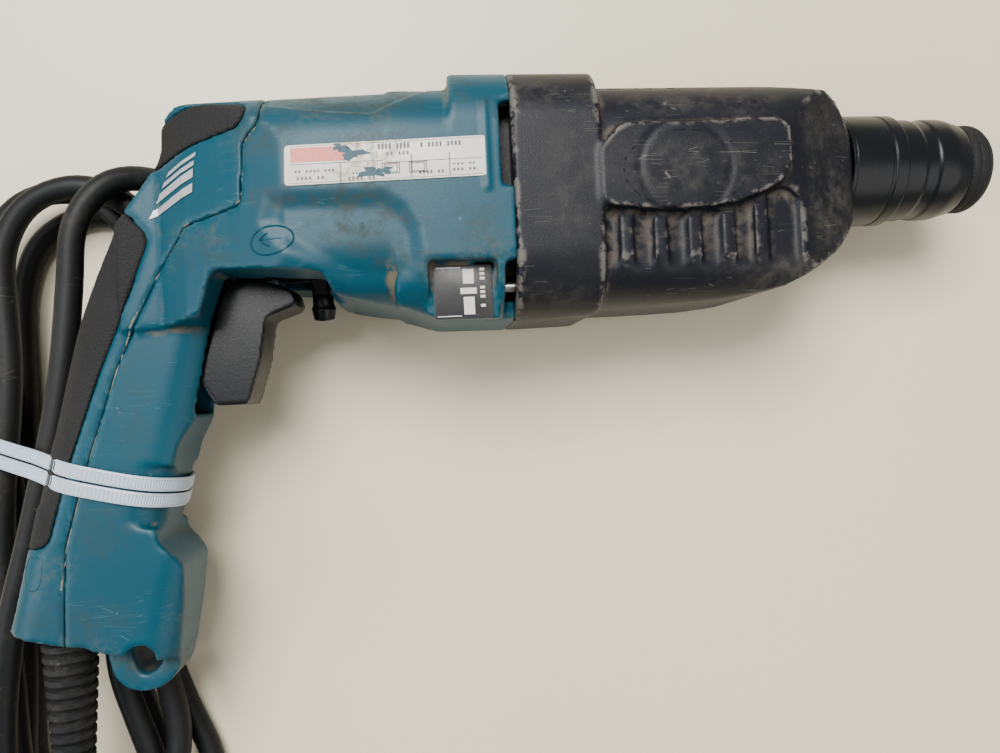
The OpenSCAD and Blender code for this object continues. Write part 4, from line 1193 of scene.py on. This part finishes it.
@dataclass
class SupplyCord:
    """The rubber lead with its guard, tie and plug."""

    diameter: float = 9.0
    length: float = 2.4
    exit: Point = (-159.5, -214.0, 0.0)
    route: tuple[Point, ...] = (
        (-159.5, -214, 0), (-158.5, -233.9, -2.6), (-148.8, -248.9, -11), (-132.5, -251, -21.7),
        (-121.3, -237.4, -30.4),
        (-122.9, -217.9, -33.8), (-130.8, -199.3, -34), (-137.4, -180.1, -34), (-140.2, -160.1, -34),
        (-139.7, -139.9, -34),
        (-137.7, -119.8, -34), (-134.5, -99.8, -34), (-131.7, -79.7, -34), (-129.6, -59.6, -34),
        (-129.2, -39.3, -34),
        (-132.6, -19.5, -34), (-145.6, -4.5, -34), (-165.3, -1.8, -34), (-181.8, -12.7, -34),
        (-188.2, -31.6, -34), (-189, -51.9, -34),
        (-189, -72.1, -34), (-189, -92.4, -34), (-189, -112.6, -34), (-189, -132.9, -34),
        (-188.9, -153.1, -34), (-189.1, -173.4, -34),
        (-189.7, -193.6, -34), (-189.7, -213.9, -34), (-185.2, -233.4, -34), (-169.6, -245.4, -34),
        (-150.5, -241.2, -34),
        (-141.5, -223.7, -34), (-145.4, -204, -34), (-152.1, -184.9, -34), (-153.9, -164.8, -34),
        (-152.4, -144.6, -34),
        (-149.9, -124.5, -34), (-146.7, -104.5, -34), (-143.3, -84.6, -33.9), (-140.2, -64.6, -33.3),
        (-139.4, -44.5, -30.9),
        (-140.3, -24.7, -26.7), (-146.6, -5.8, -24.7), (-162.9, 5.4, -24.6), (-182.4, 2.2, -24.6),
        (-194.3, -13.6, -24.6),
        (-195.7, -33.7, -24.6), (-194.4, -53.9, -24.8), (-192.9, -74.1, -24.8), (-191.4, -94.3, -24.9),
        (-190.2, -114.5, -24.9),
        (-189.2, -134.8, -24.9), (-188.4, -155, -24.9), (-188.1, -175.2, -24.9), (-188.7, -195.5, -24.9),
        (-188.7, -215.7, -24.9),
        (-182.6, -234.7, -24.9), (-165.7, -244.6, -24.9), (-147.7, -237.2, -25), (-141.8, -218.3, -25),
        (-147.3, -198.9, -24.9),
        (-153.2, -179.6, -24.9), (-153.7, -159.4, -24.9), (-151.9, -139.2, -24.9), (-149.2, -119.1, -24.9),
        (-145.8, -99.2, -24.9),
        (-142, -79.3, -24.7), (-137.6, -59.5, -24.2), (-132.8, -39.9, -23.5), (-131.6, -19.8, -21.7),
        (-140.1, -2.5, -17),
        (-158.3, 5.3, -15.4), (-176.9, -1.4, -15.4), (-186.2, -18.9, -15.4), (-186, -39.1, -15.5),
        (-185.2, -59.3, -15.7),
        (-186.5, -79.5, -15.8), (-188.6, -99.7, -15.9), (-189.7, -119.9, -15.9), (-189.9, -140.1, -15.9),
        (-189, -160.4, -15.9),
        (-187.8, -180.6, -15.9), (-186.8, -200.8, -15.9), (-183.2, -220.6, -15.9), (-169.5, -235, -15.8),
        (-149.8, -235.9, -16.1),
        (-134.8, -223.3, -18.8), (-131.5, -204.1, -22.8), (-135.7, -184.4, -24.7), (-140, -164.7, -24.8),
        (-139.7, -144.4, -24.8),
        (-137, -124.4, -24.8), (-133, -104.5, -25), (-127.8, -85, -26), (-121.7, -65.8, -28.5),
        (-116, -46.6, -30.8),
        (-112.9, -26.6, -31.5), (-115.5, -7.2, -27.4), (-126.5, 5.8, -17.4), (-143, 4.5, -6.9),
        (-154.4, -11.1, -2.8),
        (-156.8, -31.1, -2.9), (-158.8, -51.3, -2.9), (-161.5, -71.4, -2.6), (-165.3, -91.2, -2.5),
        (-170, -110.9, -2.6),
        (-175.2, -130.5, -3.1), (-180.6, -150, -4), (-184.1, -169.9, -5.2), (-186.3, -190, -6.1),
        (-186.4, -210.2, -6.5),
        (-182.9, -230.1, -6.9), (-174.8, -248.6, -8.2), (-161.4, -263.3, -11.5), (-143.8, -271.6, -16.4),
        (-124, -272.2, -20.1),
        (-103.9, -270, -20.8))

    def build(self) -> None:
        """Lays the lead along its route and dresses what sits on it."""
        points = catmull(self.route, 6)
        for _ in range(3):
            inner = [points[i] * 0.5 + (points[i - 1] + points[i + 1]) * 0.25 for i in range(1,
                    len(points) - 1)]
            points = [points[0]] + inner + [points[-1]]
        path = [DATUM.at(*p) for p in points]
        lead = tube_along("supply_lead", path, self.diameter / 2 * MM, 16)
        rings = np.arange(len(lead.data.vertices)) // 16
        co = read_points(lead)
        rise = 0.02 * np.sin(rings * 0.37) + 0.015 * np.sin(rings * 0.11)
        middle = np.array([p[:] for p in path])[np.minimum(rings, len(path) - 1)]
        write_points(lead, middle + (co - middle) * (1 + rise)[:, None])
        shade_smooth(lead, 60)
        settle(lead, "tool", "cord_rubber", Finishes.CORD, "cord_lead", "cord_hank")
        plug = self.plug()
        self.guard()
        self.tie()

    def plug(self) -> bpy.types.Object:
        """Moulded plug body, a softly rounded copy with grip ribs."""
        obj = copy_nodes("plug_moulding", "plug_body")
        remesh(obj, 0.9)
        smooth_points(obj, 6)
        mark_wear_and_shade(obj, 8)
        shade_smooth(obj)
        return settle(obj, "tool", "cord_rubber", Finishes.CORD, "plug_body")

    def guard(self) -> None:
        """Tapered strain relief with rounded rings."""
        rings: list[Flat] = []
        for k in range(15):
            y = -158.5 - 3.9 * k
            r = 9.1 - (9.1 - 5.9) * k / 14
            rings += [(r - 0.75, y), (r, y - 0.7), (r, y - 2.5), (r - 0.75, y - 3.2)]
        outline = [(6.1, -150.2), (6.1, -157.1), (9.1, -157.3)] + rings + [(5.6, -214.0), (4.6, -214.0),
                (4.6, -150.2)]
        mesh = bpy.data.meshes.new("cord_sleeve")
        count = len(outline)
        mesh.from_pydata([DATUM.at(-159.5 + r, y, 0) for r, y in outline],
                         [(i, (i + 1) % count) for i in range(count)], [])
        obj = bpy.data.objects.new("cord_sleeve", mesh)
        bpy.context.scene.collection.objects.link(obj)
        activate(obj)
        bpy.ops.object.mode_set(mode="EDIT")
        bpy.ops.mesh.select_all(action="SELECT")
        bpy.ops.mesh.spin(steps=48, angle=math.tau, center=DATUM.at(-159.5, 0, 0), axis=(0, 1, 0))
        bpy.ops.mesh.select_all(action="SELECT")
        bpy.ops.mesh.remove_doubles(threshold=0.000002)
        bpy.ops.mesh.normals_make_consistent(inside=False)
        bpy.ops.object.mode_set(mode="OBJECT")
        shade_smooth(obj, 40)
        settle(obj, "tool", "cord_rubber", Finishes.CORD, "cord_guard")

    def tie(self) -> None:
        """Two nylon bands with fine cross teeth round the grip and the lead."""
        bands = [self.band("band", y) for y in (-90.7, -85.3)]
        head = plate("lock", rounded([(self.lean(-8.0, -94.5)[0], self.lean(-8.0, -94.5)[1], 1.0),
                                      (*self.lean(-1.0, -94.5), 1.0),
                                      (*self.lean(-1.0, -89.0), 1.0), (*self.lean(-8.0, -89.0), 1.0)]),
                                      -22.8, -18.4, 0.4)
        settle(join_pieces("nylon_tie", bands + [head]), "tool", "nylon_white", Finishes.NYLON, "cable_tie")

    @staticmethod
    def lean(x: float, y: float) -> Flat:
        """Turns grip places into datum (x, y)."""
        c, s = math.cos(math.radians(13.5)), math.sin(math.radians(13.5))
        return (-112 + x * c + y * s, -20 - x * s + y * c)

    def band(self, name: str, y: float) -> bpy.types.Object:
        """Sweeps one toothed band round the grip and the bundle.

        Args:
            name: the piece's name.
            y: its place along the grip, in grip millimetres.

        Returns:
            The band.
        """
        loop = [(14.7, 0), (14.0, 8.5), (10.2, 14.6), (3.5, 17.4), (-8, 17.75), (-20, 16.6), (-29, 9.5),
                (-37.5, 2.9), (-47, -3.6), (-57, -10.6),
                (-61.4, -17.5), (-62.2, -27), (-60.4, -36.4), (-54, -38.2), (-40, -38.3), (-26, -38.3),
                (-13, -37.4), (-3, -30.5), (5.5, -21.5),
                (11.6, -13.2)]
        line = catmull([(x, z, 0) for x, z in loop], 18, True)
        n = len(line)
        verts, faces = [], []
        for i, p in enumerate(line):
            along = (line[(i + 1) % n] - line[i - 1]).normalized()
            out = Vector((-along.y, along.x, 0)) * -1
            tooth = 0.28 if i % 2 else 0.0
            wobble = 0.25 * math.sin(i * 0.07)
            for dy, rise in ((-2.3, 0.0), (-2.3, 0.85), (-1.6, 1.05), (-1.5, 0.8 + tooth),
                             (1.5, 0.8 + tooth), (1.6, 1.05), (2.3, 0.85), (2.3, 0.0)):
                q = p + out * rise
                x, yy = self.lean(q.x, y + dy + wobble)
                verts.append(DATUM.at(x, yy, q.y))
        for i in range(n):
            j = (i + 1) % n
            for k in range(8):
                m = (k + 1) % 8
                faces.append((i * 8 + k, i * 8 + m, j * 8 + m, j * 8 + k))
        obj = new_object(name, verts, faces)
        activate(obj)
        bpy.ops.object.mode_set(mode="EDIT")
        bpy.ops.mesh.select_all(action="SELECT")
        bpy.ops.mesh.normals_make_consistent(inside=False)
        bpy.ops.object.mode_set(mode="OBJECT")
        shade_smooth(obj, 40)
        return obj


@dataclass
class CarriedOver:
    """CAD nodes that keep their shape and get finer materials."""

    finishes: tuple[tuple[str, Finish], ...] = (
        ("plug_pins", Finishes.BRASS), ("change_lever_button", Finishes.RED),
        ("gear_housing_screws", Finishes.ZINC),
        ("cover_screws", Finishes.ZINC), ("clamp_screws", Finishes.ZINC),
        ("cord_clamp", Finishes.SATIN_BLACK),
        ("stator", Finishes.LAMINATION), ("field_coils", Finishes.COPPER),
        ("armature_core", Finishes.LAMINATION),
        ("armature_shaft", Finishes.STEEL), ("commutator", Finishes.COPPER), ("fan", Finishes.SATIN_BLACK),
        ("front_bearing", Finishes.BRIGHT), ("rear_bearing", Finishes.BRIGHT),
        ("baffle_plate", Finishes.SATIN_BLACK),
        ("brush_holders", Finishes.BRASS), ("carbon_brushes", Finishes.CARBON),
        # the inner housing is near black: its coat, and painted shade seen through the vent slots
        ("inner_housing", Finishes.CAST_BLACK_AND_VENT_SHADE),
        ("camshaft", Finishes.STEEL), ("cam_gear", Finishes.STEEL), ("drive_pinion", Finishes.STEEL),
        ("swash_hub", Finishes.STEEL),
        ("swash_ring", Finishes.BRIGHT), ("camshaft_bearings", Finishes.BRIGHT),
        ("piston_cylinder", Finishes.ALLOY),
        ("piston_pin", Finishes.BRIGHT), ("striker", Finishes.STEEL), ("striker_ring", Finishes.RUBBER),
        ("impact_bolt", Finishes.STEEL), ("tool_holder", Finishes.STEEL), ("spindle_gear", Finishes.STEEL),
        ("spindle_bearing", Finishes.BRIGHT), ("oil_seal", Finishes.RUBBER),
        ("locking_ball_upper", Finishes.BRIGHT),
        ("locking_ball_lower", Finishes.BRIGHT), ("retaining_ring", Finishes.STEEL),
        ("switch_body", Finishes.SATIN_BLACK), ("capacitor", Finishes.FILM))

    def build(self) -> None:
        """Dresses the nodes."""
        for name, finish in self.finishes:
            dress_node(name, finish)
            LOG.info("%s: %s", name, finish.name)


@dataclass
class Springs:
    """Coil springs copied from their nodes onto their bodies."""

    # node, body, joint, travel of the joint in metres
    coils: tuple[tuple[str, str, str, float], ...] = (
        ("sleeve_spring", "spindle", "sleeve_slide", 0.008),
        ("trigger_spring", "tool", "trigger_pull", 0.006))

    def build(self) -> None:
        """Copies each coil, dresses it and puts it on its body in place of its node."""
        for node, body, joint, travel in self.coils:
            obj = copy_nodes(f"{node}_coil", node)
            shade_smooth(obj)
            settle(obj, body, "bearing_steel", Finishes.STEEL, node)
            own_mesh(obj)


@dataclass(frozen=True)
class Studio:
    """Camera, table and soft lights."""

    place: Point = (-29.8, -79.6, 277.9)
    tilt: float = 5.28
    pitch: float = 1.22
    roll: float = -2.69
    lens: float = 27.0

    def camera(self) -> None:
        """Sets the camera."""
        data = bpy.data.cameras.new("camera")
        data.lens = self.lens
        data.sensor_width = 36.0
        data.clip_start = 0.01
        camera = bpy.data.objects.new("camera", data)
        bpy.context.scene.collection.objects.link(camera)
        turn = (Matrix.Rotation(-math.radians(self.tilt), 4,
                                "Y") @ Matrix.Rotation(math.radians(self.pitch), 4, "X")
                @ Matrix.Rotation(math.radians(self.roll), 4, "Z"))
        camera.matrix_world = Matrix.Translation(DATUM.at(*self.place)) @ turn
        bpy.context.scene.camera = camera

    def table(self) -> None:
        """Lays the pale table just under the tool."""
        low = CAD_BOX[0][2] - 0.0002
        bpy.ops.mesh.primitive_plane_add(size=6.0, location=(0, 0, low))
        table = bpy.context.active_object
        table.name = "table"
        mat = bpy.data.materials.new("cream laminate")
        mat.use_nodes = True
        shader = mat.node_tree.nodes["Principled BSDF"]
        g = Graph(mat.node_tree)
        coords = g.add("ShaderNodeTexCoord").outputs["Object"]
        color = g.mix(g.noise(coords, 6.0, 3.0), (0.70, 0.635, 0.475, 1), (0.66, 0.60, 0.445, 1))
        g.link(color, shader.inputs["Base Color"])
        shader.inputs["Roughness"].default_value = 0.42
        table.data.materials.append(mat)

    def light(self, name: str, place: Point, aim: Point, size: float, power: float,
              color: tuple[float, float, float]) -> None:
        """Adds one soft area light; places in metres."""
        data = bpy.data.lights.new(name, "AREA")
        data.shape = "SQUARE"
        data.size = size
        data.energy = power
        data.color = color
        lamp = bpy.data.objects.new(name, data)
        bpy.context.scene.collection.objects.link(lamp)
        lamp.location = place
        lamp.rotation_euler = (Vector(aim) - Vector(place)).to_track_quat("-Z", "Y").to_euler()

    def build(self) -> None:
        """Sets camera, table, lights and world."""
        self.camera()
        self.table()
        self.light("ceiling", (-0.35, 0.75, 1.5), (0, 0, 0), 0.9, 58, (1.0, 0.99, 0.965))
        self.light("window", (-1.2, -0.2, 0.9), (0, 0, 0), 0.9, 12, (0.93, 0.97, 1.0))
        self.light("fill", (0.9, -0.6, 1.1), (0, 0, 0), 1.2, 9, (1.0, 0.98, 0.95))
        world = bpy.data.worlds.new("room")
        world.use_nodes = True
        world.node_tree.nodes["Background"].inputs[0].default_value = (1.0, 0.98, 0.95, 1)
        world.node_tree.nodes["Background"].inputs[1].default_value = 0.28
        bpy.context.scene.world = world


def main() -> None:
    """Builds the scene in order: camera and cord first, then the shells and the details."""
    logging.basicConfig(level=logging.INFO, format="%(message)s")
    deselect()
    SHARED["scratches"] = build_scratches()
    SHARED["wear_and_shade"] = build_wear_and_shade()
    Studio().build()
    SupplyCord().build()
    shells = Shells()
    shells.build()
    Relief(shells).build()
    Prints(shells).build()
    Chuck().build()
    Controls().build()
    CarriedOver().build()
    Springs().build()
    bpy.context.view_layer.update()


if __name__ == "__main__":
    main()
